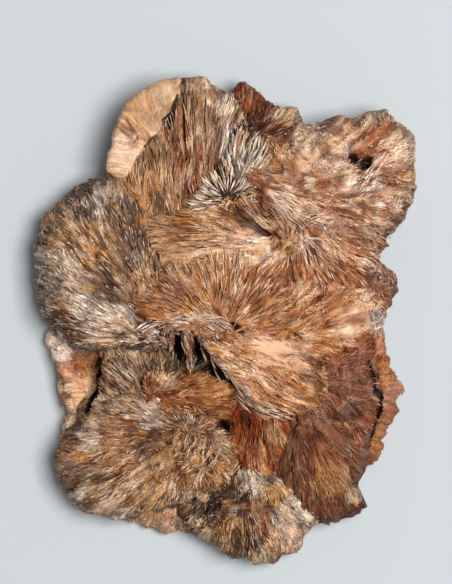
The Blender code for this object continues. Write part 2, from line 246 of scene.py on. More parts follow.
# Where the gaps between fans stay open, as (x, y, radius), and the cracks that run over the fans, each from
# (x, y) to (x, y) with a half width and a depth, all in millimetres.
OPEN_GAPS = (
    (-12, -11, 9), (-22, -8, 7), (0, -21, 7), (6, -30, 5), (-46, -22, 8), (57, -30, 7), (-6, -64, 6),
    (0, -38, 4),
)
CRACKS = (
    ((46.2, 60.3), (48.5, 58.3), 1.3, 6), ((50.5, 56), (52.8, 58.8), 1.6, 7),
    ((-16.6, 82.7), (-18.5, 76), 0.8, 3), ((-18, 76), (-20.5, 71), 1.9, 7),
    ((-20.5, 70.5), (-28.5, 64), 0.8, 3.5), ((-35.5, 74), (-31, 67), 0.6, 0.9),
    ((-37.5, 70), (-32, 66), 0.6, 0.9), ((-14.8, 84), (-13.6, 60), 0.6, 1.8),
    ((-13.6, 60), (-12.2, 38), 0.55, 1.8), ((-6.7, 82), (-6.7, 67), 0.5, 1.5),
    ((-11.5, 79), (-10.5, 62), 0.4, 1.3), ((-2.2, 80), (-1.2, 64), 0.4, 1.3),
    ((-9.5, 58), (-9.8, 44), 0.4, 1.2), ((3.3, 42.4), (16.7, 31.3), 1.4, 2.0),
    ((17, 20.9), (17.2, 3.5), 0.5, 1.5), ((17.2, 2.2), (18, 1.2), 0.8, 2.5),
    ((-7.8, 16.5), (-2.6, 20.9), 0.5, 1.5), ((-2.6, 20.9), (3, 20.9), 0.5, 1.5),
    ((43.8, -8.6), (44.6, -11.4), 1.1, 4), ((3.5, -0.8), (8, -4.6), 1.2, 3),
    ((22.6, -2.4), (28.5, -6.1), 0.6, 2), ((-45.5, -17.9), (-46.2, -25.3), 1.3, 9),
    ((-46.2, -25.3), (-49.9, -33.5), 1.2, 9), ((55.1, -24.2), (58.5, -28.7), 1.3, 6),
    ((58.5, -28.7), (56.6, -36.8), 1.3, 6), ((53, -14.5), (55.6, -23), 0.8, 4),
    ((56.8, -36.5), (54.2, -43.5), 0.8, 4), ((-0.4, -36.4), (1.9, -40), 1.4, 6),
    ((-16.8, -6), (-16.2, -13.5), 1.7, 8), ((-9.2, -8), (-8.6, -14.5), 1.6, 8),
    ((-7, -15), (-2, -21), 1.2, 6),
)

cells = (np.arange(2 * ROOF_HALF + 1) - ROOF_HALF) * MM
drops = [grown_solid.ray_cast(Vector((x, y, 0.2)), Vector((0, 0, -1)))[0] for x in cells for y in cells]
bare = np.array([hit.z / MM if hit else 0.0 for hit in drops]).reshape(len(cells), len(cells))
ROOF = spread(spread(bare, np.maximum), np.minimum)
for x, y, radius in OPEN_GAPS:
    far = np.hypot(cells[:, None] / MM - x, cells[None] / MM - y)
    share = np.clip(2 * (1 - far / radius), 0, 1)
    ROOF = ROOF * (1 - share) + bare * share


def roof(x, y):
    """The specimen's height here with the gaps between its fans spanned, in millimetres."""
    x, y = (np.clip(v + ROOF_HALF, 0, 2 * ROOF_HALF - 1e-3) for v in (x, y))
    i, j = x.astype(int), y.astype(int)
    fx, fy = x - i, y - j
    return ((ROOF[i, j] * (1 - fx) + ROOF[i + 1, j] * fx) * (1 - fy)
            + (ROOF[i, j + 1] * (1 - fx) + ROOF[i + 1, j + 1] * fx) * fy)


class Form:
    """A body of rays that leave one root, cross a rim and run down to a foot. Places are (around, along):
    around goes from 0 to 1 anticlockwise along the rim, and along from 0 at the root to 1 at the foot."""

    underside = 0.12  # share of its rings that lie under its foot
    rib = 1.3  # millimetres between the gaps that part its ribs
    smoothness = 0.0  # how smooth it is all over, from 0 to 1
    clean = ()  # where it has broken clean and is smooth, as (x, y, radius)

    def __init__(self, seed, relief):
        self.seed = seed
        self.relief = relief

    def frame(self, around, along):
        """Points, the way the rays run there, and the way out of the stone there."""
        step = 2e-3
        back, on = np.clip(along - step, 0.004, 1 - step), np.clip(along + step, 0.004 + step, 1)
        flow = self.smooth(around, on) - self.smooth(around, back)
        across = self.smooth(around + step, np.maximum(along, 0.01)) - self.smooth(
            around - step, np.maximum(along, 0.01))
        return self.smooth(around, along), unit(flow), unit(np.cross(flow, across))

    def grain(self, points, spacing, stretch, seed):
        """Noise from -1 to 1 drawn out along the blades, this far apart. It forks as the blades spread."""
        turn, far, loop = self.polar(points)
        far = far / (spacing * stretch) + 100
        forks = np.log2(np.maximum(loop / spacing, 2.0))
        whole = np.floor(forks)
        total = np.zeros(len(points))
        for step in (0, 1):
            share = np.abs(1 - step - (forks - whole))
            for k in np.unique(whole + step).astype(int):
                here = whole + step == k
                total[here] += share[here] * lattice(turn[here] * 2**k, far[here], seed + 7 * k, loop=2**k)
        return total

    def displaced(self, around, along):
        """Points of the stone itself, with its relief, and how high the relief stands there from -1 to 1."""
        points, _, out = self.frame(around, along)
        rise = np.zeros(len(around))
        crest = np.zeros(len(around))
        above_foot = np.clip((1 - along) / EDGE_FADE, 0, 1)
        upright = np.clip(1.5 * out[:, 2], 0, 1)
        fade = np.clip(self.ring(along) / ROOT_FADE, 0, 1) * above_foot
        fade *= SIDE_RELIEF + (1 - SIDE_RELIEF) * upright
        for n, (spacing, stretch, depth) in enumerate(self.relief):
            wave = 2 * eased(np.abs(self.grain(points, spacing, stretch, self.seed + 31 * n)) / 0.4) - 1
            rise += depth * (wave - 0.7) * fade
            crest += wave * (0.4 + 0.6 * (n == len(self.relief) - 1))
        rise += LUMP_DEPTH * (cloud(points, LUMP_SIZE, self.seed + 50) - 0.3) * (1 - upright) * above_foot
        points = points + out * (rise - SEAM_DEPTH * self.seams(points) * fade)[:, None]
        sunk = self.sunk(points)
        points[:, 2] -= sunk
        return points, crest - sunk

    def calm(self, points):
        """How smooth the stone is at these points, from 0 to 1."""
        calm = np.full(len(points), self.smoothness)
        for x, y, radius in self.clean:
            away = np.hypot(points[:, 0] - x, points[:, 1] - y) / radius
            away += 0.3 * cloud(points, 0.6 * radius, 87)
            calm = np.maximum(calm, 0.9 * eased(2.2 * (1.1 - away)))
        return calm

    def seams(self, points):
        """How near these points are to a gap between two ribs, from 0 to 1. The gaps fork and fade."""
        wide = self.grain(points, self.rib, 7, self.seed + 700)
        fine = self.grain(points, 0.55 * self.rib, 7, self.seed + 720)
        near = np.maximum(1 - eased(np.abs(wide) / 0.24), 0.75 * (1 - eased(np.abs(fine) / 0.2)))
        strong = np.clip(0.62 + 0.6 * cloud(points, 4, self.seed + 740) + 0.5 * cloud(points, 11, 77), 0, 1)
        return near * strong * (1 - self.calm(points))

    def sunk(self, points):
        """How deep the cracks are at these points."""
        deepest = np.zeros(len(points))
        for (x, y), (to_x, to_y), half, depth in CRACKS:
            way = np.array([to_x - x, to_y - y], float)
            beside = points[:, :2] - (x, y)
            share = np.clip(beside @ way / max(way @ way, 1e-6), 0, 1)
            away = np.linalg.norm(beside - share[:, None] * way, axis=1)
            narrow = half * (0.5 + 0.5 * np.sin(math.pi * np.clip(share, 0.1, 0.9)))
            narrow *= 1 + 0.5 * cloud(points * (1, 1, 0), 2.5, 71)
            wall = np.clip(1.3 - away / narrow, 0, 1)
            deepest = np.maximum(deepest, depth * wall * wall * (3 - 2 * wall))
        return np.minimum(deepest, np.maximum(points[:, 2] - 4, 0))


class Fan(Form):
    """A cushion of blades from a root in plan. heights are those of its top at HEIGHT_SHARES of the way out,
    and flank and foot are how far out its sides are, as shares of its radius. Its blades stream away from
    source, or from its root. It reaches over its neighbours by reach, and is drawn up to the roof by the
    share cling. relief holds the breadth of its ribs, how drawn out they are, and their height. inset is the
    way from its stone out to the ends of its blades."""

    def __init__(self, seed, root, rim, heights, flank=0.985, foot=0.86, slope=(0, 0), source=None,
                 reach=4.5, cling=0.9, relief=((6, 4, 0.9), (2.2, 5, 0.5)), inset=INSET):
        super().__init__(seed, relief)
        self.root = np.array(root, float)
        self.source = np.array(source or root, float)
        self.slope = np.array(slope, float)
        self.cling = cling
        walk = closed_curve(np.array(rim, float), CORNER_STEPS)
        self.girth = walked(walk)[-1]
        wanted = self.girth * np.arange(RIM_STEPS) / RIM_STEPS
        self.rim = spots(walk, wanted)
        spokes = unit(self.rim - self.root)
        over = np.ones(RIM_STEPS)
        total = np.zeros(RIM_STEPS)
        for step in range(1, REACH_STEPS + 1):
            ahead = self.rim + spokes * (reach * step / REACH_STEPS + 1.5)
            over = over * (roof(*ahead.T) > max(heights[-1] - CLIFF, LEAST_ROOF))
            total += over * reach / REACH_STEPS
        window_steps = range(-RIM_SOFTENING, RIM_SOFTENING + 1)
        total = sum(np.roll(total, step) for step in window_steps) / len(window_steps)
        ragged = sum(size * lattice(wanted / apart + 5, np.full(RIM_STEPS, 9.5), seed + 60)
                     for apart, size in RAGGED)
        ragged *= np.clip(wanted / 6, 0, 1) * np.clip((self.girth - wanted) / 6, 0, 1)
        grown_by = total + (RIM_SPREAD - inset) * (1 - total / max(reach, 1)) + ragged
        self.rim = self.rim + spokes * grown_by[:, None]
        spokes = self.rim - self.root
        self.turns, self.radii = np.arctan2(spokes[:, 1], spokes[:, 0]), np.linalg.norm(spokes, axis=1)
        reach = self.radii.mean()
        shares = [*HEIGHT_SHARES, flank, foot]
        levels = [*(np.array(heights) - inset), FLANK_LEVEL * heights[-1], 0]
        walk = open_curve(np.column_stack([np.array(shares) * reach, levels]), MERIDIAN_STEPS)
        gone = walked(walk)
        self.length = gone[-1]
        self.gone = gone / gone[-1]
        self.shares = np.clip(walk[:, 0] / reach, 0, 1.02)
        self.levels = walk[:, 1]
        self.rim_height = heights[-1]

    def ring(self, along):
        """How long the ring at this place is, in millimetres."""
        return self.girth * np.interp(along, self.gone, self.shares)

    def fitted(self, base, axis, long, along):
        """The lengths long cut short where a blade would stick out over the rim."""
        inside = np.interp(along, self.gone, self.shares) < 0.97
        for _ in range(4):
            spokes = (base + axis * long[:, None])[:, :2] - self.root
            turn = np.arctan2(spokes[:, 1], spokes[:, 0])
            rim = np.interp(turn, self.turns, self.radii, period=math.tau)
            over = inside & (np.linalg.norm(spokes, axis=1) > rim + 0.2)
            long = np.where(over, 0.65 * long, long)
        return np.where(inside, long, np.minimum(long, SIDE_BLADE))

    def bent(self, points):
        """These points in plan, shifted so that the blades, which wave, run straight from the source."""
        flat = points * (1, 1, 0)
        shifts = [1.8 * cloud(flat, 15, self.seed + 300 + k) + 0.4 * cloud(flat, 5, self.seed + 310 + k)
                  for k in (0, 20)]
        return points[:, :2] + np.column_stack(shifts)

    def onward(self, points):
        """The way that the blades run at these points, in plan."""
        step = 0.2
        here = self.bent(points)
        away = here - self.source
        east = (self.bent(points + (step, 0, 0)) - here) / step
        north = (self.bent(points + (0, step, 0)) - here) / step
        return unit(np.column_stack([away[:, 0] * north[:, 1] - away[:, 1] * north[:, 0],
                                     away[:, 1] * east[:, 0] - away[:, 0] * east[:, 1]]), GUARD)

    def polar(self, points):
        """The turn about the source from 0 to 1, the way gone from it, and the length of a circle there."""
        away = self.bent(points) - self.source
        far = np.linalg.norm(away, axis=1)
        drop = np.clip(self.rim_height - 2 - points[:, 2], 0, None)
        return np.mod(np.arctan2(away[:, 1], away[:, 0]) / math.tau, 1), far + drop, math.tau * far

    def smooth(self, around, along):
        """Points of the fan without its relief."""
        share = np.interp(along, self.gone, self.shares)
        level = np.interp(along, self.gone, self.levels)
        spot = np.mod(around, 1) * RIM_STEPS
        first = np.floor(spot).astype(int)
        part = (spot - first)[:, None]
        out = self.rim[first % RIM_STEPS] * (1 - part) + self.rim[(first + 1) % RIM_STEPS] * part - self.root
        out *= share[:, None]
        upright = np.clip(level / self.rim_height, 0, 1)
        level = level + out @ self.slope * upright
        place = out + self.root
        drawn = np.clip(roof(*place.T) - SINK - level, 0, MOST_DRAWN) * self.cling
        level = level + drawn * np.clip((upright - 0.82) / 0.14, 0, 1) * np.clip((share - 0.25) / 0.4, 0, 1)
        return np.column_stack([place, level])

    def streamed(self, place, out, heading, along, yaw):
        """heading turned to stream away from the source, except on the sides."""
        x, y = self.onward(place).T
        cos, sin = np.cos(yaw), np.sin(yaw)
        away = np.column_stack([x * cos - y * sin, x * sin + y * cos, 0 * yaw])
        away -= out * np.sum(away * out, axis=1, keepdims=True)
        away *= np.where(np.sum(away * heading, axis=1, keepdims=True) < 0, -1, 1)
        inner = np.clip((0.86 - np.interp(along, self.gone, self.shares)) / 0.16, 0, 1)
        inner = (inner * (along < 0.9) * np.clip(3 * out[:, 2] - 0.6, 0, 1))[:, None]
        return unit(heading * (1 - inner) + away * inner, GUARD)


def stained(form, points, tones, patches, tone):
    """The stone's colours at these points: (in the gaps, on the blades, at their tips). The gap colour is
    painted shade where it fills the gaps between the ribs, and a darker tone where tone calls for it.
    Patches are (x, y, radius, colour, strength), and tone from -1 to 1 takes each point towards the gaps or
    the tips."""
    gap, body, pale = (np.tile(colour, (len(points), 1)) for colour in tones)
    for n, (x, y, radius, colour, strength) in enumerate(patches):
        away = np.hypot(points[:, 0] - x, points[:, 1] - y) / radius
        ragged = 1 + 0.5 * cloud(points, 0.5 * radius + 2, 900 + 2 * n) + 0.35 * tone
        share = strength * np.clip(3.5 * (1.25 - away / np.maximum(ragged, 0.1)), 0, 1)[:, None]
        body = body * (1 - share) + colour * share
        pale = pale * (1 - 0.35 * share) + colour * 0.35 * share
        gap = gap * (1 - 0.2 * share) + colour * 0.2 * share
    rusty = 1.3 * form.grain(points, 4, 4, form.seed + 800) * (1 - 0.8 * form.calm(points))
    rusty = (eased(0.3 + rusty + 0.5 * cloud(points, 7, 45)) * (1 - 0.6 * form.calm(points)))[:, None]
    body = body * (1 - rusty * RUSTING)
    # Painted shade: the gaps between the ribs, which are sunk into the stone, take the gap colour.
    seam_shade = form.seams(points)
    dark = np.maximum(0.8 * eased((-tone - 0.3) / 0.8), 0.92 * seam_shade)[:, None]
    light = 0.85 * (eased((tone - 0.1) / 0.8) * (1 - seam_shade))[:, None]
    body = body * np.maximum(1 - dark - light, 0) + gap * dark + pale * light
    return gap, body * GOLD, (pale * (1 - 0.4 * dark) + gap * 0.4 * dark) * GOLD


def toned(form, points):
    """How dark or light the stone is at these points, from about -1 to 1, in streaks along its blades."""
    broad, narrow = form.grain(points, 3.0, 3, form.seed + 400), form.grain(points, 1.3, 4, form.seed + 500)
    mottled = 0.6 * cloud(points, 9, 41) + 0.4 * cloud(points, 2.4, 43)
    return (0.7 * broad + 0.7 * narrow) * (1 - 0.8 * form.calm(points)) + mottled


def whitened(form, points):
    """How chalky the stone is at these points, from about -1 to 1."""
    streaks = 0.9 * form.grain(points, 1.7, 4, form.seed + 600)
    return streaks * (1 - 0.8 * form.calm(points)) + 0.7 * cloud(points, 6, 61)


def shell_mesh(form, tones, patches, crust=0.0, cover=0.8, fine=FINE):
    """The closed stone surface of a form under its blades, as (corners, faces, stains, fibres). crust from 0
    to 1 is how much of it is pale all over rather than painted with shade between its crests, cover how pale
    those crests are, and fine its facets' size at the rim, in millimetres."""
    rays = int(form.girth / fine)
    rings = int(form.length / (LONG_FACETS * fine) / (1 - form.underside))
    corners, faces = ball(rays, rings)
    polar = np.arccos(np.clip(corners[:, 2], -1, 1)) / math.pi
    around = np.mod(np.arctan2(corners[:, 1], corners[:, 0]) / math.tau, 1)
    along = np.clip(polar / (1 - form.underside), 0, 1)
    points, crest = form.displaced(around, along)
    if form.underside:
        under = np.clip((polar - 1 + form.underside) / form.underside, 0, 1)
        centre = np.array([*form.root, 0])
        flat = under > 1e-6
        rough = 0.35 + 0.3 * cloud(points * (1, 1, 0), 7, 5)
        points[flat] = centre + (points[flat] - centre) * (1 - under[flat])[:, None]
        rough += 0.015 * (form.seed % 40)  # so that no two fans' undersides lie in one plane
        points[:, 2] = np.where(flat | (along > 0.999), rough, points[:, 2])
        points[:, 2] = np.maximum(points[:, 2], 0.05)
    gap, body, pale = stained(form, points, tones, patches, toned(form, points))
    # Painted shade: the stone takes the gap colour in the hollows between the crests of its relief and in
    # its cracks.
    share = np.clip(0.5 + 0.5 * crest, 0, 1)[:, None]
    share = (crust + (1 - crust) * share * cover) * (1 - eased(form.sunk(points) / 1.5)[:, None])
    chalky = np.clip(1.5 * whitened(form, points) - 0.35, 0, 1)[:, None] * share
    stains = gap * (1 - share) + (body * (1 - 0.6 * chalky) + pale * 0.6 * chalky) * share
    # Painted shade: the stone is darker the deeper its crack is.
    stains *= 1 - 0.7 * eased(form.sunk(points) / 4)[:, None]
    turn, far, _ = form.polar(points)
    turn, radius = turn * math.tau, form.girth / math.tau
    fibres = np.column_stack([np.cos(turn) * radius, np.sin(turn) * radius, far * DRAWN_OUT])
    return points, faces, np.column_stack([stains, 1 - form.calm(points)]), fibres


def joined(parts):
    """Several (corners, faces, stains, fibres) as one."""
    corners, faces, stains, fibres = [], [], [], []
    start = 0
    for part in parts:
        corners.append(part[0])
        faces.extend(tuple(corner + start for corner in face) for face in part[1])
        stains.append(part[2])
        fibres.append(part[3])
        start += len(part[0])
    return np.vstack(corners), faces, np.vstack(stains), np.vstack(fibres)


def grown(name, *parts):
    """A piece of the specimen from its parts, in its place, with the stone's finish."""
    corners, faces, stains, fibres = joined(parts)
    mesh = bpy.data.meshes.new(name)
    mesh.from_pydata((corners * MM).tolist(), [], faces)
    colours = mesh.color_attributes.new("stain", "FLOAT_COLOR", "POINT")
    colours.data.foreach_set("color", np.clip(stains, 0, 1).ravel())
    threads = mesh.attributes.new("fibre", "FLOAT_VECTOR", "POINT")
    threads.data.foreach_set("vector", fibres.ravel())
    mesh.materials.append(barite)
    piece = bpy.data.objects.new(name, mesh)
    scene.collection.objects.link(piece)
    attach(piece, "root")
    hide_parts("barite_cluster")
    return piece


class Socket:
    """A socket of the finish being mixed. Sums on it add Math nodes."""

    def __init__(self, tree, socket=None):
        self.tree = tree
        self.socket = socket

    def node(self, kind, output, settings=None, **inputs):
        """Adds a node, with its settings first and then its sockets' values or links."""
        node = self.tree.nodes.new(kind)
        for name, value in (settings or {}).items():
            setattr(node, name, value)
        for name, value in inputs.items():
            socket = node.inputs[int(name[1:])] if name[0] == "_" else node.inputs[name.replace("_", " ")]
            if isinstance(value, Socket):
                self.tree.links.new(value.socket, socket)
            else:
                socket.default_value = value
        return Socket(self.tree, node.outputs[output])

    def sum(self, operation, first, second):
        return self.node("ShaderNodeMath", 0, {"operation": operation}, _0=first, _1=second)

    def mapped(self, low, high, to_low, to_high):
        """This value with the range from low to high stretched from to_low to to_high, and cut off there."""
        return self.node("ShaderNodeMapRange", "Result", None, Value=self, _1=low, _2=high, _3=to_low,
                         _4=to_high)

    def __add__(self, other):
        return self.sum("ADD", self, other)

    def __radd__(self, other):
        return self.sum("ADD", other, self)

    def __sub__(self, other):
        return self.sum("SUBTRACT", self, other)

    def __rsub__(self, other):
        return self.sum("SUBTRACT", other, self)

    def __mul__(self, other):
        return self.sum("MULTIPLY", self, other)

    def __rmul__(self, other):
        return self.sum("MULTIPLY", other, self)


def barite_finish():
    """Dull iron-stained barite: streaks along the blades, fine grains of rust and chalk, a faint lustre.
    Painted shade darkens the grooves, the gaps between the fibres and the pits of its fine relief, and a
    faint painted highlight lightens its ridges.
    """
    finish = bpy.data.materials.new("barite")
    finish.use_nodes = True
    tree = finish.node_tree
    shader = tree.nodes["Principled BSDF"]
    mix = Socket(tree)
    stains = mix.node("ShaderNodeAttribute", "Color", {"attribute_name": "stain"})
    fibre = mix.node("ShaderNodeAttribute", "Vector", {"attribute_name": "fibre"})
    place = mix.node("ShaderNodeTexCoord", "Object")
    streak = mix.node("ShaderNodeTexNoise", "Fac", Vector=fibre, Scale=STREAKS, Detail=4.0, Roughness=0.65)
    grain = mix.node("ShaderNodeTexNoise", "Fac", Vector=place, Scale=GRAINS, Detail=3.0, Roughness=0.7)
    mottle = mix.node("ShaderNodeTexNoise", "Fac", Vector=place, Scale=MOTTLES, Detail=3.0, Roughness=0.6)
    rusty = mottle.mapped(0.5, 0.72, 0.0, 0.35)
    chalky = grain.mapped(0.6, 0.8, 0.0, 0.2)
    # Painted shade along the grooves of the fine relief, and a faint painted highlight along its ridges.
    groove_shade_ridge_light = streak.mapped(0.38, 0.58, 0.5, 1.12)
    near = mix.node("ShaderNodeMath", 0, {"operation": "ABSOLUTE"}, _0=streak - 0.5)
    # Painted shade: thin dark lines for the gaps between the fibres.
    cracks = near.mapped(0.0, 0.035, 0.45, 1.0)
    streaky = mix.node("ShaderNodeAttribute", "Alpha", {"attribute_name": "stain"})
    # Painted shade in the pits of the fine relief.
    pit_shade = grain.mapped(0.36, 0.47, 0.5, 1.06)
    shade = (1 + (pit_shade - 1) * (0.3 + 0.7 * streaky)) * (
        1 + ((groove_shade_ridge_light + 0.3 * grain) * cracks - 1) * (0.25 + 0.75 * streaky))
    toned = mix.node("ShaderNodeVectorMath", 0, {"operation": "SCALE"}, _0=stains, Scale=shade)
    rusted = mix.node("ShaderNodeMix", 2, {"data_type": "RGBA", "blend_type": "MULTIPLY"},
                      _0=rusty, _6=toned, _7=RUSTED)
    colour = mix.node("ShaderNodeMix", 2, {"data_type": "RGBA"}, _0=chalky, _6=rusted, _7=(*CHALK * 0.8, 1))
    bump = mix.node("ShaderNodeBump", 0, None, Strength=0.6, Distance=RELIEF, Height=streak + 0.6 * grain)
    shader.inputs["Specular IOR Level"].default_value = LUSTRE
    tree.links.new(colour.socket, shader.inputs["Base Color"])
    tree.links.new((0.5 + 0.35 * grain).socket, shader.inputs["Roughness"])
    tree.links.new(bump.socket, shader.inputs["Normal"])
    return finish


barite = barite_finish()

matrix = Fan(
    1,
    root=(0, -5),
    rim=((0, 68), (-28, 72), (-38, 52), (-58, 28), (-56, 0), (-50, -24), (-48, -56), (-25, -67),
         (4, -76), (28, -70), (45, -62), (52, -40), (54, -14), (54, 14), (58, 48), (42, 64), (20, 65)),
    heights=(25, 26, 25, 19, 13),
    foot=0.97,
    cling=0,
    reach=0,
)
# Its near-black, umber and brown are partly its rust and partly painted shade for the bottoms of the clefts,
# the only places where it shows.
grown("matrix", shell_mesh(matrix, (NEAR_BLACK, UMBER, BROWN), (), fine=2.0))


# The west rim: a low smooth plate that runs out under the west fan.
# It is an older fan whose blades are grown over with a pale crust, so it is nearly smooth, cream along its
# outer edge and rusty in its middle.
RUST = stain(160, 92, 54)
OCHRE = stain(200, 146, 92)
CREAM = stain(238, 208, 180)
PINK = stain(240, 196, 168)
BARE_INSET = 0.1  # millimetres from the stone out to the ends of the blades where there are hardly any
BLADE_RING = 0.68  # share of a blade's length at which it is widest


def blade_mesh():
    """One blade: a three-sided spear along +X from 0 to 1 with its crest up, widest at BLADE_RING."""
    corners, faces = ball(3, 2)
    turn = np.arctan2(corners[:, 1], corners[:, 0])
    place = np.column_stack([np.full(len(corners), BLADE_RING), -1.15 * np.sin(turn), np.cos(turn)])
    ends = np.abs(corners[:, 2]) > 0.9
    place[ends] = 0
    place[ends, 0] = corners[ends, 2] > 0
    return place, np.array(faces)


BLADE, BLADE_FACES = blade_mesh()
BURIED = 2.5  # millimetres inside the solid at which a blade can't be seen
FIRST_BLADE, LAST_BLADE = 0.02, 0.97  # where along a form its first and last blades grow
TURN_CELLS, WAY_CELLS = 160, 60  # the cells that a form is divided into to spread its blades
TUFTS = 0.55  # how many tufts grow on a square with sides as long as a tuft is broad
TUFT_STRETCH = 0.7  # how much longer than broad a tuft is
AT_ONCE = 2000  # blades that are sorted into tufts in one step
TUFT_LIFT = 7  # degrees from the flattest tufts to the steepest
TOUSLED_STRAY, TOUSLED_LIFT = 45, 6  # degrees that tousled blades turn aside and stand up
ROLL = 0.22  # radians that blades lean to one side
LOWEST = 0.2  # millimetres above the table that no blade goes below
ROUTE_STEPS = 12  # steps of the curve from one corner of a strand's route to the next
FEEL = 1.8  # how far around its ends a strand feels for the roof, in millimetres
FEELERS = 6
STRAND_SINK = 0.8  # how far into the roof a strand starts
STRAND_WAVER, STRAND_ROLL = 0.06, 0.3


def scattered(form, per_mm2, rng, side):
    """Places spread evenly over a form's surface, and fewer, by the share side, on its sides."""
    turns = np.linspace(0, 1, TURN_CELLS + 1)
    ways = np.linspace(FIRST_BLADE, LAST_BLADE, WAY_CELLS + 1)
    grid = form.smooth(np.repeat(turns, len(ways)), np.tile(ways, len(turns)))
    grid = grid.reshape(len(turns), len(ways), 3)
    across, down = grid[1:, :-1] - grid[:-1, :-1], grid[:-1, 1:] - grid[:-1, :-1]
    areas = np.linalg.norm(np.cross(across, down), axis=2)
    steep = np.abs(down[:, :, 2]) / np.linalg.norm(down, axis=2)
    areas = areas * np.where(steep > 0.8, side, 1.0)
    area = areas.sum()
    i, j = np.divmod(rng.choice(areas.size, int(per_mm2 * area), p=(areas / area).ravel()), WAY_CELLS)
    around = (i + rng.random(len(i))) / TURN_CELLS
    along = FIRST_BLADE + (LAST_BLADE - FIRST_BLADE) * (j + rng.random(len(j))) / WAY_CELLS
    return around, along


def laid(rng, base, axis, out, roll, long, wide, high, body, gap, butt=0.75):
    """Blades from base along axis, with their crests towards out, as (corners, faces, stains, fibres)."""
    beside = unit(np.cross(out, axis), GUARD)
    up = np.cross(axis, beside)
    cos, sin = np.cos(roll)[:, None], np.sin(roll)[:, None]
    beside, up = beside * cos + up * sin, up * cos - beside * sin
    corners = (base[:, None] + axis[:, None] * (BLADE[None, :, :1] * long[:, None, None])
               + beside[:, None] * (BLADE[None, :, 1:2] * 0.5 * wide[:, None, None])
               + up[:, None] * (BLADE[None, :, 2:] * high[:, None, None]))
    corners[:, :, 2] = np.maximum(corners[:, :, 2], LOWEST)
    faces = (BLADE_FACES[None] + len(BLADE) * np.arange(len(base))[:, None, None]).reshape(-1, 3)
    stains = np.empty((len(base), len(BLADE), 3))
    # Painted shade on each blade: its inner end and its two lower edges are mixed with the gap colour, while
    # its crest keeps the full colour as the lit side and its tip nearly so.
    for corner, (x, _, z) in enumerate(BLADE):
        share = butt if x < 0.1 else 1.0 if z > 0.5 else 0.9 if x > 0.9 else 0.8
        stains[:, corner] = body * share + gap * (1 - share)
    start_at = rng.uniform(0, 50, (len(base), 1, 3))
    fibres = start_at + np.stack(np.broadcast_arrays(
        BLADE[None, :, 1] * wide[:, None], BLADE[None, :, 2] * high[:, None],
        BLADE[None, :, 0] * DRAWN_OUT * long[:, None]), axis=2)
    stains = np.column_stack([stains.reshape(-1, 3), np.ones(corners.size // 3)])
    return corners.reshape(-1, 3), faces.tolist(), stains, fibres.reshape(-1, 3)


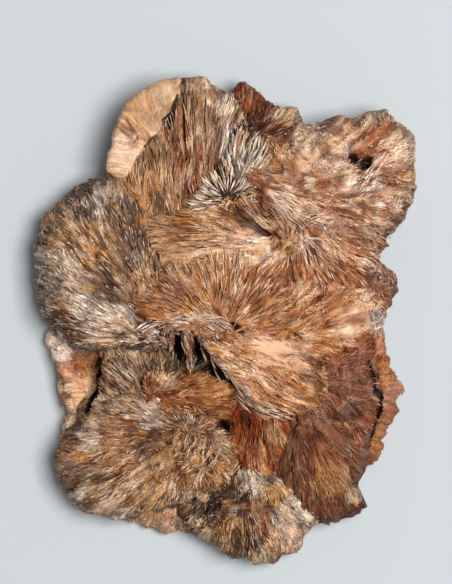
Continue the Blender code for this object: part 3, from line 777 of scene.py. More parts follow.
def blades(form, tones, patches, per_mm2=2.5, length=(2.5, 6.5), width=(0.38, 0.7), crest=(0.17, 0.38),
           lift=(0, 5), stray=3, sway=7, tuft=2.6, proud=0.9, pale=0.45, butt=0.75, side=0.45, slivers=0.1,
           grainy=()):
    """The blades on a form as (corners, faces, stains, fibres). length, width and crest are in millimetres,
    lift, stray and sway in degrees. tuft is a tuft's breadth and proud how far a tuft may stand out, in
    millimetres. pale is the share of blades that are chalky, the share for their inner ends how much of the
    blade colour they keep against painted shade in the gap colour, side how many of them grow on the sides,
    and slivers the share of loose dark ones and of loose pale ones. grainy holds (x, y, radius) where they
    are short and tousled."""
    rng = np.random.default_rng(1000 + form.seed)
    around, along = scattered(form, per_mm2, rng, side)
    smooth, _, out = form.frame(around, along)
    points, _ = form.displaced(around, along)

    middles = scattered(form, TUFTS / tuft**2, rng, 1.0)
    tuft_points, tuft_flow, _ = form.frame(*middles)
    owner = np.empty(len(points), int)
    for first in range(0, len(points), AT_ONCE):
        gap = points[first:first + AT_ONCE, None] - tuft_points[None]
        onward = np.einsum("ijk,jk->ij", gap, tuft_flow)
        owner[first:first + AT_ONCE] = np.argmin((gap**2).sum(2) - TUFT_STRETCH * onward**2, axis=1)
    tuft_yaw = rng.normal(0, 1, len(tuft_points))[owner]
    tuft_rise = rng.uniform(0, 1, len(tuft_points))[owner]
    tuft_tone = rng.normal(0, 1, len(tuft_points))[owner]

    tousled = np.zeros(len(points))
    for x, y, radius in grainy:
        away = np.hypot(points[:, 0] - x, points[:, 1] - y) / radius + 0.3 * cloud(points, 4, 81)
        tousled = np.maximum(tousled, eased(2.5 * (1 - away)))
    yaw = np.radians((stray + TOUSLED_STRAY * tousled) * rng.normal(0, 1, len(points)) + sway * tuft_yaw)
    upright = np.clip(out[:, 2], 0.25, 1)
    raised = rng.uniform(*lift, len(points)) + TUFT_LIFT * tuft_rise - 1 + TOUSLED_LIFT * tousled
    pitch = np.radians(raised) * upright
    roll = rng.normal(0, ROLL, len(points))
    long = rng.uniform(*length, len(points)) * (1 + 0.3 * cloud(points, 12, 91)) * (1 - 0.6 * tousled)
    long *= np.where(np.abs(along - 0.78) < 0.14, 0.7, 1) * np.exp(0.45 * cloud(points, 7, 93))
    ahead = np.minimum(along + np.cos(yaw) * long / form.length, 1)
    aside = around + np.sin(yaw) * long / np.maximum(form.ring(0.5 * (along + ahead)), 12)
    heading = unit(form.smooth(aside, ahead) - smooth, GUARD)
    heading = form.streamed(smooth, out, heading, along, yaw)
    axis = heading * np.cos(pitch)[:, None] + out * np.sin(pitch)[:, None]
    loose = rng.random(len(points))
    dark, light = loose < slivers, loose > 1 - slivers
    wide = rng.uniform(*width, len(points)) * np.where(dark | light, 0.8, 1)
    high = rng.uniform(*crest, len(points))
    sunken = (0.5 * np.clip(cloud(points, 8, 95), 0, 1) + 0.8 * form.calm(points)) * upright
    rise = proud * (tuft_rise - 0.6) * upright - 0.1 - sunken + 0.2 * (dark | light)
    base = points + out * rise[:, None]

    long = form.fitted(base, axis, long, along)

    middle = base + axis * (0.6 * long)[:, None]
    shown = (middle[:, 2] > 1.2) & (form.sunk(middle) < 1.0)
    for k in np.flatnonzero(shown):
        place = Vector(middle[k] * MM)
        hit, normal, _, _ = grown_solid.find_nearest(place)
        if (place - hit).dot(normal) < -BURIED * MM:
            shown[k] = False
    keep = np.flatnonzero(shown & (form.seams(middle) < rng.uniform(0.35, 1.1, len(shown))))

    middle = middle[keep]
    tone = toned(form, middle) + 0.12 * tuft_tone[keep] + 0.12 * rng.normal(0, 1, len(keep))
    gap, body, tips = stained(form, middle, tones, patches, tone)
    whiten = whitened(form, middle) + 0.12 * tuft_tone[keep] + 0.12 * rng.normal(0, 1, len(keep))
    whiten = eased((whiten - 1.1 + 1.6 * pale) * 1.6)[:, None]
    body = body * (1 - 0.8 * whiten) + tips * 0.8 * whiten
    body[dark[keep]] = gap[dark[keep]]
    body[light[keep]] = 0.3 * body[light[keep]] + 0.7 * tips[light[keep]]
    return laid(rng, *(v[keep] for v in (base, axis, out, roll, long, wide, high)), body, gap, butt)


def strands(seed, route, tones, count=3, apart=0.55, long=(2.5, 5), thick=(0.5, 0.9), rise=0.3, pale=0.6):
    """Blades laid end to end in this many strands along a route of (x, y), over the roof."""
    rng = np.random.default_rng(2000 + seed)
    walk = open_curve(np.array(route, float), ROUTE_STEPS)
    way = walked(walk)[-1]
    number = int(count * way / (0.3 * (long[0] + long[1])))
    spot = rng.uniform(0, way, number)
    on = unit(spots(walk, spot + 0.5) - spots(walk, spot - 0.5), GUARD)
    aside = np.column_stack([-on[:, 1], on[:, 0]])
    place = spots(walk, spot) + aside * ((rng.integers(0, count, number) - (count - 1) / 2) * apart
                                         + rng.normal(0, 0.12, number))[:, None]
    length = rng.uniform(*long, number)
    around = [(FEEL * math.cos(turn), FEEL * math.sin(turn)) for turn in range(FEELERS)]
    ends = [np.column_stack([at, np.max([roof(*(at + step).T) for step in around], axis=0)])
            for at in (place, place + on * length[:, None])]
    axis = unit(ends[1] - ends[0] + rng.normal(0, STRAND_WAVER, (number, 3)) * length[:, None])
    base = ends[0] + (0, 0, rise - STRAND_SINK)
    out = np.tile((0.0, 0.0, 1.0), (number, 1))
    body = np.clip(pale + 0.35 * rng.normal(0, 1, number) + 0.4 * cloud(base, 3, 83), 0, 1)[:, None]
    body = tones[1] * (1 - body) + tones[2] * body
    return laid(rng, base, axis, out, rng.normal(0, STRAND_ROLL, number), length,
                rng.uniform(*thick, number), rng.uniform(*thick, number), body,
                np.tile(tones[0], (number, 1)), 0.8)


def grow_fan(name, form, tones, patches, *more, crust=0.0, cover=0.8, fine=FINE, **manner):
    """A fan's stone surface, its blades and whatever more it carries as one piece."""
    stone = shell_mesh(form, tones, patches, crust, cover, fine)
    return grown(name, stone, blades(form, tones, patches, **manner), *more)


def flecks(seed, x, y, reach, count, *colours, size=(1.0, 2.6), strength=0.85):
    """Small patches of these colours, strewn over the disc of radius reach about (x, y)."""
    rng = np.random.default_rng(seed)
    turn, far = rng.uniform(0, math.tau, count), reach * np.sqrt(rng.uniform(0, 1, count))
    radius = rng.uniform(*size, count)
    return tuple((x + far[k] * math.cos(turn[k]), y + far[k] * math.sin(turn[k]), radius[k],
                  colours[k % len(colours)], strength) for k in range(count))


CRUST_RELIEF = ((5, 2, 1.0), (1.8, 2, 0.5))
CRUMBS = dict(per_mm2=1.6, length=(0.9, 2.4), width=(0.4, 0.9), crest=(0.2, 0.5), lift=(0, 12), stray=40,
              proud=0.4, slivers=0.05)

west_rim = Fan(
    2,
    root=(-50, -27),
    rim=((-63, -3), (-65.5, -7), (-64, -13), (-62.6, -18.5), (-61.3, -24), (-60, -29), (-59.2, -34.5),
         (-60, -40), (-60.5, -44.5), (-53, -47), (-44, -40), (-41, -27), (-42.5, -14), (-47.5, -6),
         (-56, -2.5)),
    heights=(17.5, 17.5, 16, 12.5, 7.5),
    foot=0.9,
    relief=CRUST_RELIEF,
    reach=0,
    source=(-22, -24),
    inset=BARE_INSET,
)
west_rim.smoothness = 0.55
WEST_RIM_TONES = (stain(52, 28, 14), stain(176, 138, 112), stain(222, 200, 184))
WEST_RIM_PATCHES = (
    (-62, -10, 6, CHALK, 0.9), (-54, -17, 6, RUST, 0.8), (-49, -22, 5, OCHRE, 0.8), (-52, -25, 6, PINK, 0.8),
    (-57, -38, 6, CREAM, 0.8), (-50, -36, 4, OCHRE, 0.9), (-48, -13, 5, BROWN, 0.9),
    *flecks(201, -54, -24, 14, 14, RUST, CREAM, BROWN),
)
grow_fan("west_rim", west_rim, WEST_RIM_TONES, WEST_RIM_PATCHES, crust=0.8, fine=0.65, **CRUMBS)


# The west fan: the broadest fan, a round cushion of fine blades that stream out to the left.
# Its blades are thin plates seen on edge, a millimetre or less thick, and grow in tufts that overlap like
# shingles. Grey brown at its crown, ochre in the middle and chalky along its lower edge.
TAN = stain(214, 172, 134)
SLATE = stain(120, 96, 82)

west_fan = Fan(
    3,
    root=(-26.5, -1.5),
    rim=((-37.5, 51), (-42.5, 53), (-48.5, 52.5), (-53.5, 50), (-59.5, 44.5), (-65, 40), (-68.5, 34),
         (-70.5, 28), (-70.5, 21), (-70, 14), (-68.5, 7), (-66.5, 0.5), (-63.5, -3.5), (-57.5, -6.5),
         (-50, -8.5), (-42, -9), (-32.5, -8.5), (-23.5, -7), (-19, -1.5), (-19, 11.5), (-23.5, 30),
         (-30, 45)),
    heights=(38.5, 43.5, 43.5, 35.5, 21.5),
    foot=0.84,
    source=(-20, -8),
)
WEST_TONES = (stain(63, 35, 20), stain(178, 141, 113), stain(236, 216, 200))
LEDGE_TONES = (stain(60, 34, 20), stain(190, 154, 128), stain(236, 214, 196))
WEST_PATCHES = (
    (-46, 46, 11, SLATE, 0.9), (-48, 28, 9, OCHRE, 0.8), (-33, 27, 8, SLATE, 0.85), (-63, 20, 6, CHALK, 0.8),
    (-56, 12, 6, CREAM, 0.85), (-61, 4, 7, UMBER, 0.7), (-50, 4, 6, CHALK, 0.75), (-36, 3, 5, CHALK, 0.9),
    (-43, 12, 5, UMBER, 0.6), (-28, 12, 6, OCHRE, 0.7), (-52, -4, 6, UMBER, 0.6), (-58, 37, 6, TAN, 0.6),
    (-42, -5, 5, CREAM, 0.7), *flecks(204, -50, 22, 30, 60, CHALK, UMBER, OCHRE, CREAM, SLATE, strength=0.8),
)
grow_fan("west_fan", west_fan, WEST_TONES, WEST_PATCHES,
         strands(1, ((-33, -4), (-27, -1), (-21.3, 1.2), (-14, 1.7), (-8, 1.5), (-4.4, 1.2), (-2, 0)),
                 LEDGE_TONES, 6, apart=0.65, long=(3.5, 7), thick=(0.5, 0.9), rise=0.9, pale=0.7),
         strands(2, ((-30, -5), (-25, -2.8), (-19.5, -1.2), (-14, -0.8)), LEDGE_TONES, 4, apart=0.7,
                 rise=0.7, pale=0.6),
         length=(2, 5), stray=4, slivers=0.18)


# The east rim: a low lumpy margin that curves around the specimen's right side.
# Like the west rim it is crusted over, terracotta in colour, with a pinkish edge and hardly any blades.
MAUVE = stain(150, 102, 84)

east_rim = Fan(
    4,
    root=(50, -32),
    rim=((54.5, 1.5), (49, -3), (44, -18), (42.5, -36.5), (46, -51), (52, -56), (55.5, -52.5),
         (58, -49.5), (59, -45), (60, -41), (62.5, -37.5), (64.5, -34), (64.5, -31), (66, -28.5),
         (66.5, -25.5), (64, -22.5), (62, -18), (60.5, -12.5), (59.5, -7), (59, -1.5)),
    heights=(20, 19.5, 18, 14, 9),
    foot=0.88,
    relief=CRUST_RELIEF,
    reach=0,
    source=(25, -28),
    inset=-0.6,
)
east_rim.smoothness = 0.6
EAST_RIM_PATCHES = (
    (58, -14.2, 7, RUST, 0.6), (64.5, -26, 4, PINK, 0.4), (58, -46, 6, OCHRE, 0.4), (62, -34, 5, MAUVE, 0.6),
    (60, -8, 5, stain(206, 150, 116), 0.6), (52, -52, 5, BROWN, 0.6), (61, -20, 4, OCHRE, 0.5),
    *flecks(202, 61, -28, 16, 24, MAUVE, PINK, RUST, BROWN, strength=0.6),
)
EAST_RIM_TONES = (stain(80, 32, 14), stain(152, 88, 54), stain(184, 134, 106))
grow_fan("east_rim", east_rim, EAST_RIM_TONES, EAST_RIM_PATCHES, crust=0.8, fine=0.65, **CRUMBS)


# The south flap: a small smooth tongue that sticks out at the foot of the specimen.
# It is crusted like the rims, tan to pink, and only its inner end carries blades.
south_flap = Fan(
    5,
    root=(-21, -66),
    rim=((-36.5, -73), (-30, -76), (-24, -78.2), (-18, -79.2), (-14.5, -78.5), (-10, -79.5),
         (-7, -73.5), (-9, -64), (-20.5, -60), (-30.5, -64)),
    heights=(19, 18, 15, 11, 7),
    foot=0.84,
    relief=CRUST_RELIEF,
    reach=0,
    source=(-14, -45),
    inset=BARE_INSET,
)
south_flap.smoothness = 0.5
SOUTH_FLAP_PATCHES = (
    (-21.5, -66, 6, BROWN, 0.7), (-17.8, -73.4, 6, PINK, 0.6), (-28, -72, 5, TAN, 0.7),
    (-11, -75, 4, BROWN, 0.5),
    *flecks(203, -21, -72, 11, 12, BROWN, CREAM, RUST, strength=0.6),
)
SOUTH_FLAP_TONES = (stain(66, 36, 20), stain(172, 138, 112), stain(206, 190, 176))
grow_fan("south_flap", south_flap, SOUTH_FLAP_TONES, SOUTH_FLAP_PATCHES, crust=0.6, fine=0.6, **CRUMBS)


# The back spur: a dark rusty fan that stands behind the head, lower than the fans in front of it.
# Its blades are coarse, with their gaps painted nearly black as shade, and a few cream tips.
back_spur = Fan(
    6,
    root=(5, 70),
    rim=((3.5, 84.5), (-3, 82.5), (-4, 71), (4.5, 60), (19, 58), (29.5, 63.5), (30.5, 71), (29, 74.5),
         (28, 78), (25, 79.5), (21.5, 79.5), (16.5, 82.5), (10.5, 86.5), (7.5, 88.5), (5, 87)),
    heights=(30, 28, 27, 24, 17),
    foot=0.84,
    source=(8, 62),
)
BACK_SPUR_TONES = (stain(46, 12, 4), stain(126, 60, 31), stain(204, 168, 142))
BACK_SPUR_PATCHES = (
    (24.8, 77.5, 5, CREAM, 0.7), (12.2, 82.7, 5, RUST, 0.8), (14.4, 72.7, 6, UMBER, 0.7),
    # Painted shade: the near-black patch at its right end.
    (21, 75.7, 2.5, CREAM, 0.7), (28.5, 71.6, 3, NEAR_BLACK, 0.7),
)
grow_fan("back_spur", back_spur, BACK_SPUR_TONES, BACK_SPUR_PATCHES, length=(2, 4.5), pale=0.3)


# The head fan: the tall fan at the top left, a sheaf of long wavy ribs that run up from the middle.
# Its ribs are thin plates grown side by side, tan and brown, whiter where they pass under the white spray. A
# smooth tan crust still covers its outer shoulder and ends inwards in a broken edge.
head_fan = Fan(
    7,
    root=(-15, 26.5),
    rim=((-14, 20), (-3, 26.5), (5.5, 45), (8, 63.5), (6.5, 76.5), (3, 83), (-0.5, 85.5), (-5.5, 88),
         (-10, 90), (-15, 89.5), (-21.5, 88.5), (-28, 86), (-34.5, 80.5), (-39, 72), (-42, 62),
         (-42.5, 55.5), (-37.5, 35.5), (-27, 23.5)),
    heights=(36, 36, 36.5, 33, 24),
    foot=0.88,
    source=(-12, -20),
)
head_fan.clean = ((-37, 61, 6), (-32, 71, 7), (-25, 79, 6))
HEAD_TONES = (stain(66, 32, 15), stain(178, 136, 108), stain(230, 198, 176))
HEAD_PATCHES = (
    (-30.7, 48.7, 10, OCHRE, 0.6), (-32.6, 41, 7, OCHRE, 0.6), (-8.5, 59.8, 8, RUST, 0.5),
    (1.9, 63.5, 6, SLATE, 0.7), (2.5, 78, 4, CHALK, 1), (4.5, 70, 4.5, CHALK, 1), (6.5, 62, 5, CHALK, 1),
    (-12, 88.6, 5, PINK, 0.8), (-15.5, 80, 2.5, UMBER, 0.8), (-4.8, 83.8, 4, CREAM, 0.5),
    (-12, 48.7, 5, RUST, 0.6),
    *flecks(205, -12, 62, 24, 30, BROWN, CREAM, OCHRE, RUST),
)
head_crust = Fan(
    8,
    root=(-31, 70),
    rim=((-42.5, 55.5), (-37, 53), (-33, 55), (-30, 61), (-26, 66.5), (-21, 72), (-17, 78), (-16, 84),
         (-16, 89), (-21.5, 88.5), (-28, 86), (-34.5, 80.5), (-39, 72), (-42, 62)),
    heights=(37, 37.2, 37, 36, 32),
    flank=0.84,
    foot=0.2,
    slope=(0.16, -0.14),
    relief=((6, 3, 0.3), (1.6, 5, 0.1)),
    cling=0,
    reach=0,
    source=(-14, 56),
    inset=BARE_INSET,
)
head_crust.smoothness = 0.6
HEAD_CRUST_PATCHES = (
    (-36.6, 61.6, 7, stain(232, 196, 174), 0.9), (-30, 80, 8, stain(196, 158, 126), 0.8),
    (-24, 74, 5, BROWN, 0.4),
    *flecks(214, -31, 70, 16, 24, BROWN, PINK, TAN, size=(0.6, 1.6), strength=0.5),
)
HEAD_CRUST_TONES = (UMBER, stain(200, 166, 138), CREAM)
grow_fan("head_fan", head_fan, HEAD_TONES, HEAD_PATCHES,
         shell_mesh(head_crust, HEAD_CRUST_TONES, HEAD_CRUST_PATCHES, crust=0.9, fine=0.6),
         length=(4, 9), stray=2, sway=4)


# The white spray: a burst of separate white laths over the root of the head fan.
# Each lath is a loose plate a millimetre thick, chalk white, with the gaps between painted near-black as
# shade.

def burst(seed, x, y, radius, turns, tones, count=1, rise=0.7, step=0.0, **manner):
    """Strands that leave (x, y) at these turns. They lie at three heights, this step apart."""
    return tuple(
        strands(seed + k, ((x, y), (x + radius * math.cos(turn), y + radius * math.sin(turn))), tones, count,
                rise=rise + step * (k % 3), **manner)
        for k, turn in enumerate(turns)
    )


white_spray = Fan(
    9,
    root=(3, 47),
    rim=((-14, 39.5), (-7, 39), (3, 39.5), (11, 41.5), (14.5, 46.5), (17.5, 52.5), (19, 60), (16.5, 66),
         (10, 71), (5, 71.5), (2, 63.5), (-2.5, 57), (-7, 54), (-9, 49.5), (-13.5, 42.5)),
    heights=(45, 44, 42, 38.5, 35),
    foot=0.8,
    source=(2, 44),
    cling=0,
    reach=0,
)
SPRAY_TONES = (stain(40, 18, 8), stain(206, 168, 141), stain(248, 230, 214))
SPRAY_PATCHES = ((4.8, 47.5, 3, BROWN, 0.8), (11.8, 56, 6, CHALK, 0.8), (-10, 44, 4, BROWN, 0.6))
grow_fan("white_spray", white_spray, SPRAY_TONES, SPRAY_PATCHES,
         *burst(40, 1.4, 45, 5, np.radians(range(20, 170, 11)), SPRAY_TONES, rise=0.8, step=0.1,
                long=(4, 9), thick=(0.5, 0.9), pale=0.9),
         strands(3, ((-14.4, 42.7), (-8.5, 43.8), (-3, 44.6)), SPRAY_TONES, 2, thick=(0.5, 0.7)),
         strands(4, ((-16.6, 39.8), (-12.9, 41.6), (-9.2, 42.4)), SPRAY_TONES, 2, thick=(0.4, 0.7)),
         strands(5, ((3.3, 80.1), (4.1, 72.7), (4.8, 65.3), (6.3, 57.9)), SPRAY_TONES, 5,
                 thick=(0.4, 0.7), rise=0.7),
         strands(6, ((6.3, 78.3), (7.8, 71.6), (10, 65.3)), SPRAY_TONES, 3, thick=(0.4, 0.7), rise=0.7),
         # The stone under the laths keeps little of its pale crests, so it shows as painted near-black shade
         # between them.
         cover=0.1, per_mm2=0.9, length=(7, 11), width=(0.6, 0.95), crest=(0.5, 0.9), lift=(3, 10), stray=6,
         sway=8, proud=1.8, pale=0.9, butt=0.8)


# The brow fan: streaks that converge on the right, across the middle of the specimen below the white spray.
# Tan and pinkish, with a cleft near the spray's root whose brown is painted shade, and a brighter knot at
# its own.
brow_fan = Fan(
    10,
    root=(18, 29),
    rim=((14.5, 37), (9, 43.5), (2.5, 45), (-5, 45), (-10.5, 44), (-15, 39), (-23.5, 37), (-29, 31),
         (-27, 22), (-12, 15.5), (6.5, 17), (19.5, 22), (23.5, 26.5), (22, 31.5)),
    heights=(45, 46, 45.5, 43.5, 39),
    foot=0.8,
    slope=(0.1, 0),
    source=(24, 29),
)
BROW_TONES = (stain(84, 40, 16), stain(208, 164, 128), stain(238, 206, 180))
BROW_PATCHES = (
    (4.8, 29.4, 8, PINK, 0.7), (13.5, 25.5, 5, CHALK, 0.9), (-10.4, 36.8, 7, OCHRE, 0.6),
    # Painted shade: the umber patch that lies along the cleft near the spray's root.
    (-15.9, 32, 6, BROWN, 0.4), (7.4, 38.3, 4, UMBER, 0.9), (19.8, 27.2, 2.5, OCHRE, 0.9),
    (-3, 19.8, 4, BROWN, 0.6),
    *flecks(208, -4, 31, 20, 30, CREAM, BROWN, PINK, OCHRE, strength=0.7),
)
brow_fan.clean = ((4, 28, 6), (13.5, 25.5, 4), (-14, 25, 5))
grow_fan("brow_fan", brow_fan, BROW_TONES, BROW_PATCHES,
         strands(7, ((-7.8, 16.5), (-6.3, 19.1), (-2.6, 20.9), (3, 20.9), (5.5, 19.8)), BROW_TONES, 2),
         length=(3, 7))


# The east head: the big fan at the top right, granular near its inner end and bladed towards its rim.
# Pinkish cream where its grains have broken clean, rusty on its right, with two black pits near its middle.
east_head_fan = Fan(
    11,
    root=(45, 46.5),
    rim=((14.5, 58), (19, 45), (32, 37), (50.5, 33), (61, 32.5), (66.3, 34.7), (68.8, 39.5), (70.2, 45),
         (70.8, 51.5), (70, 58), (71, 63.5), (69, 69.5), (65.5, 73), (63, 74.5), (60.5, 78), (56, 77.5),
         (51.5, 77.5), (48.5, 75), (45.5, 75.5), (40.5, 75.5), (35, 73.5), (30, 70.5), (25.5, 67),
         (19.5, 66), (15, 63.5)),
    heights=(43, 46, 46, 40, 27),
    foot=0.86,
    source=(14, 43),
)
EAST_HEAD_TONES = (stain(96, 50, 30), stain(220, 184, 160), stain(248, 226, 212))
EAST_HEAD_PATCHES = (
    (20, 60, 7, OCHRE, 0.7), (14.4, 54.2, 5, OCHRE, 0.7), (38, 64, 9, CREAM, 0.75),
    (57.5, 68, 6, RUST, 0.85), (52.9, 62.7, 5, RUST, 0.6), (66.5, 65, 6, CREAM, 0.85),
    (60.7, 52.4, 4, MAUVE, 0.7), (67.7, 53.5, 4, OCHRE, 0.7), (34, 50, 7, MAUVE, 0.65),
    (45.1, 40.5, 6, MAUVE, 0.5), (57, 46, 6, CREAM, 0.7), (63.6, 40, 5, BROWN, 0.6), (44, 73, 6, PINK, 0.6),
    (56.2, 76.4, 5, CREAM, 0.8), (47.4, 59.3, 2.2, NEAR_BLACK, 1), (51.7, 57.4, 2.6, NEAR_BLACK, 1),
    *flecks(206, 44, 57, 26, 70, CREAM, MAUVE, CHALK, RUST, PINK, BROWN, size=(0.9, 2.4)),
)
east_head_fan.smoothness = 0.35
east_head_fan.clean = ((30, 62, 6), (62, 68, 5))
grow_fan("east_head_fan", east_head_fan, EAST_HEAD_TONES, EAST_HEAD_PATCHES,
         strands(8, ((61.4, 62), (57.4, 57.5), (52.9, 52.4), (50.7, 49.4)), EAST_HEAD_TONES, 3),
         strands(9, ((59.6, 63.5), (55.9, 58.3), (51.8, 53.8)), EAST_HEAD_TONES, 2),
         strands(10, ((63.3, 59.8), (58.8, 55.3), (54.4, 50.1)), EAST_HEAD_TONES, 2),
         per_mm2=2.3, length=(1.8, 4.5), stray=9, sway=14, slivers=0.15,
         grainy=((31, 61, 11), (45, 65, 9), (38, 52, 8), (60, 48, 7)))


# The sash: a band of long parallel strands that falls from the spray's root to the right.
# Rusty and cream strands lie side by side like a combed sash, over the lower edge of the east head.
sash_fan = Fan(
    12,
    root=(16.5, 49.5),
    rim=((12, 55.5), (11.5, 46.5), (16.5, 40.5), (28.5, 33), (45, 28), (56.5, 26.5), (61, 28),
         (60.5, 31.5), (62.5, 35.5), (54.5, 42), (36, 48.5), (17.5, 56)),
    heights=(45, 46, 43, 36, 27),
    foot=0.86,
    source=(3, 58),
)
SASH_TONES = (stain(88, 39, 17), stain(178, 132, 105), stain(244, 220, 204))
BAND_TONES = (stain(62, 24, 10), stain(142, 76, 42), stain(196, 146, 114))
SASH_PATCHES = (
    (26, 40, 8, stain(232, 196, 174), 0.7), (48.8, 36.8, 4, RUST, 0.6), (34, 34, 3, RUST, 0.7),
    (21, 45.7, 4, CHALK, 0.8), (44, 33, 5, PINK, 0.6), (36, 46.5, 4, TAN, 0.6), (55, 31, 4, TAN, 0.6),
    *flecks(207, 36, 39, 18, 40, RUST, CREAM, MAUVE, BROWN),
)
sash_fan.smoothness = 0.15
sash_fan.clean = ((24.8, 39.4, 5), (40, 32, 4))
grow_fan("sash_fan", sash_fan, SASH_TONES, SASH_PATCHES,
         strands(11, ((14.4, 50.9), (23.3, 47.2), (35.9, 42), (48.8, 37.6), (60.7, 29)), BAND_TONES, 5,
                 long=(4, 9), thick=(0.4, 0.7), rise=0.9, pale=0.2),
         strands(12, ((17.4, 52.4), (28.5, 46.4), (41.4, 40.5), (53.6, 35.3), (61, 30.2)), BAND_TONES, 4,
                 long=(4, 9), thick=(0.4, 0.7), rise=0.9, pale=0.35),
         strands(13, ((28.5, 43.1), (34, 38.7), (37.4, 32.4), (40.3, 26.1)), SASH_TONES, 3, pale=0.2),
         strands(14, ((31.4, 42.7), (36.6, 36.8), (40.3, 30.2), (43.3, 24.2)), SASH_TONES, 3, pale=0.4),
         length=(4, 9), stray=2, sway=4)


# The shoulder: a cushion on the right whose blades fan out from a pale root on its inner side.
# Ochre and rust. Its outer end is a granular mauve knob with glassy beads on it.
shoulder_fan = Fan(
    13,
    root=(28.5, 29),
    rim=((19.5, 31), (16.5, 22), (19.5, 11), (28.5, 5), (43.5, 3.5), (58, 5.5), (64, 10), (65, 14.5),
         (63, 19), (59.5, 22.5), (55.5, 25.5), (47, 33), (32, 38.5), (22.5, 34.5)),
    heights=(43, 42, 39, 33, 22),
    foot=0.86,
    source=(24, 40),
)
SHOULDER_TONES = (stain(98, 44, 16), stain(194, 144, 108), stain(242, 212, 192))
SHOULDER_PATCHES = (
    (58.8, 16.1, 8, MAUVE, 0.95), (53.7, 17.2, 2.5, NEAR_BLACK, 0.7), (28.1, 29, 4, CHALK, 0.6),
    (41.4, 28.3, 7, PINK, 0.6), (45.1, 17.2, 6, RUST, 0.6), (22, 19, 6, BROWN, 0.6),
)
BEAD_TONES = (UMBER, stain(146, 98, 82), stain(214, 178, 164))
grow_fan("shoulder_fan", shoulder_fan, SHOULDER_TONES, SHOULDER_PATCHES,
         *burst(70, 28, 31.5, 8, np.radians(range(-140, -10, 16)), SHOULDER_TONES, 2,
                long=(3, 6), thick=(0.35, 0.6), pale=0.85),
         strands(80, ((56, 19), (59.5, 16.5), (61, 12.5)), BEAD_TONES, 7, apart=0.9, long=(0.7, 1.3),
                 thick=(0.6, 1.1), rise=0.8, pale=0.5),
         length=(3, 7), slivers=0.16, grainy=((58, 16, 8),))


# The hip: a fan of fine hay-like blades below the shoulder, the palest on the right side.
# Ochre and cream, with a patch of clear white crystals near its outer end.
hip_fan = Fan(
    14,
    root=(21, -2.5),
    rim=((16, 0), (16.5, -7), (22.5, -8.5), (32, -12), (45, -13), (56, -8.5), (59.5, -1.5), (60.5, 3.5),
         (62, 8), (53.5, 15.5), (39.5, 20), (25, 18.5), (16.5, 9.5)),
    heights=(42, 43.5, 41, 34, 22),
    foot=0.86,
    source=(12, -9),
)
HIP_TONES = (stain(112, 54, 22), stain(206, 152, 110), stain(238, 202, 176))
HIP_PATCHES = (
    (47, 1.3, 6, PINK, 0.9), (51, 7.2, 4, CREAM, 0.9), (43.7, -5, 4, CREAM, 0.9),
    (57.4, 0.6, 4, CHALK, 0.95), (24.8, 0.6, 8, OCHRE, 0.5), (37.7, -8.7, 6, OCHRE, 0.7),
    *flecks(209, 40, 2, 18, 40, OCHRE, CREAM, RUST, PINK, strength=0.7),
)
hip_fan.clean = ((48, 0, 6), (42, 6, 4))
CRYSTAL_TONES = (SLATE, stain(168, 152, 142), stain(222, 212, 204))
grow_fan("hip_fan", hip_fan, HIP_TONES, HIP_PATCHES,
         strands(81, ((54.8, 6), (57, 1.5), (56.3, -3.5)), CRYSTAL_TONES, 5, apart=1.0, long=(1.2, 2.8),
                 thick=(0.5, 1.0), rise=0.6, pale=0.6),
         length=(2, 5), width=(0.3, 0.55), stray=6, sway=10,
         grainy=((28, 8, 7), (36, 3, 7), (46, 2, 6), (52, 6, 4)))


# The heart: the fan in the middle of the specimen, an orange cushion whose blades spread from its centre.
# Rusty orange around the root and paler at the rim, where its lower edge overhangs a dark cavity.
heart_fan = Fan(
    15,
    root=(2, 0),
    rim=((-27, 1.5), (-16.5, -1.5), (-6.5, -3.5), (6.5, -5.5), (18, -3), (20.5, 8), (18.5, 17),
         (13, 20.5), (3, 23), (-11, 20), (-23, 16), (-28, 9.5)),
    heights=(43, 46, 46.5, 44.5, 39),
    foot=0.86,
    source=(2, -4),
)
HEART_TONES = (stain(104, 48, 18), stain(198, 146, 108), stain(238, 204, 182))
HEART_PATCHES = (
    (-4.8, 15.4, 6, OCHRE, 0.8), (5.4, 10.2, 2, CHALK, 0.9), (7.8, 6.1, 2.5, CREAM, 0.8),
    (-17.8, 13.5, 6, SLATE, 0.6), (14.4, 11.7, 7, RUST, 0.5), (-8.5, 4.3, 5, TAN, 0.6),
    *flecks(213, -3, 9, 20, 30, OCHRE, CREAM, RUST, BROWN, strength=0.6),
)
heart_fan.clean = ((14, 7, 4), (4, 13, 3))
grow_fan("heart_fan", heart_fan, HEART_TONES, HEART_PATCHES, length=(3, 7))


# The cleft fan: the dark hollow left of the middle, its blades half hidden under the fans around it.
# Slate and brown, in shadow, with cream tips where light reaches in.
cleft_fan = Fan(
    16,
    root=(-41, -40),
    rim=((-50, -38), (-45.5, -46), (-36.5, -47), (-27, -40), (-16, -31), (-5.5, -21), (-2, -10.5),
         (-6.5, -1.5), (-19.5, 0), (-32.5, -3), (-41, -6), (-44, -13), (-46, -21), (-48.5, -30)),
    heights=(29, 30, 31, 30.5, 27),
    foot=0.86,
    source=(-18, -42),
    cling=0,
    reach=0,
)
CLEFT_TONES = (stain(34, 16, 8), stain(166, 127, 101), stain(226, 202, 180))
CLEFT_PATCHES = (
    (-43.7, -10.5, 4, RUST, 0.7), (-27, -10.5, 6, TAN, 0.6), (-41.8, -29, 4, CREAM, 0.5),
    # Painted shade: the two near-black patches lie in the open gaps under the heart.
    (-10.4, -8.7, 5, RUST, 0.6), (-14, -9, 9, NEAR_BLACK, 0.8), (0, -20, 6, NEAR_BLACK, 0.7),
)
grow_fan("cleft_fan", cleft_fan, CLEFT_TONES, CLEFT_PATCHES, length=(2.5, 6), lift=(2, 10), proud=1.2,
         sway=10)


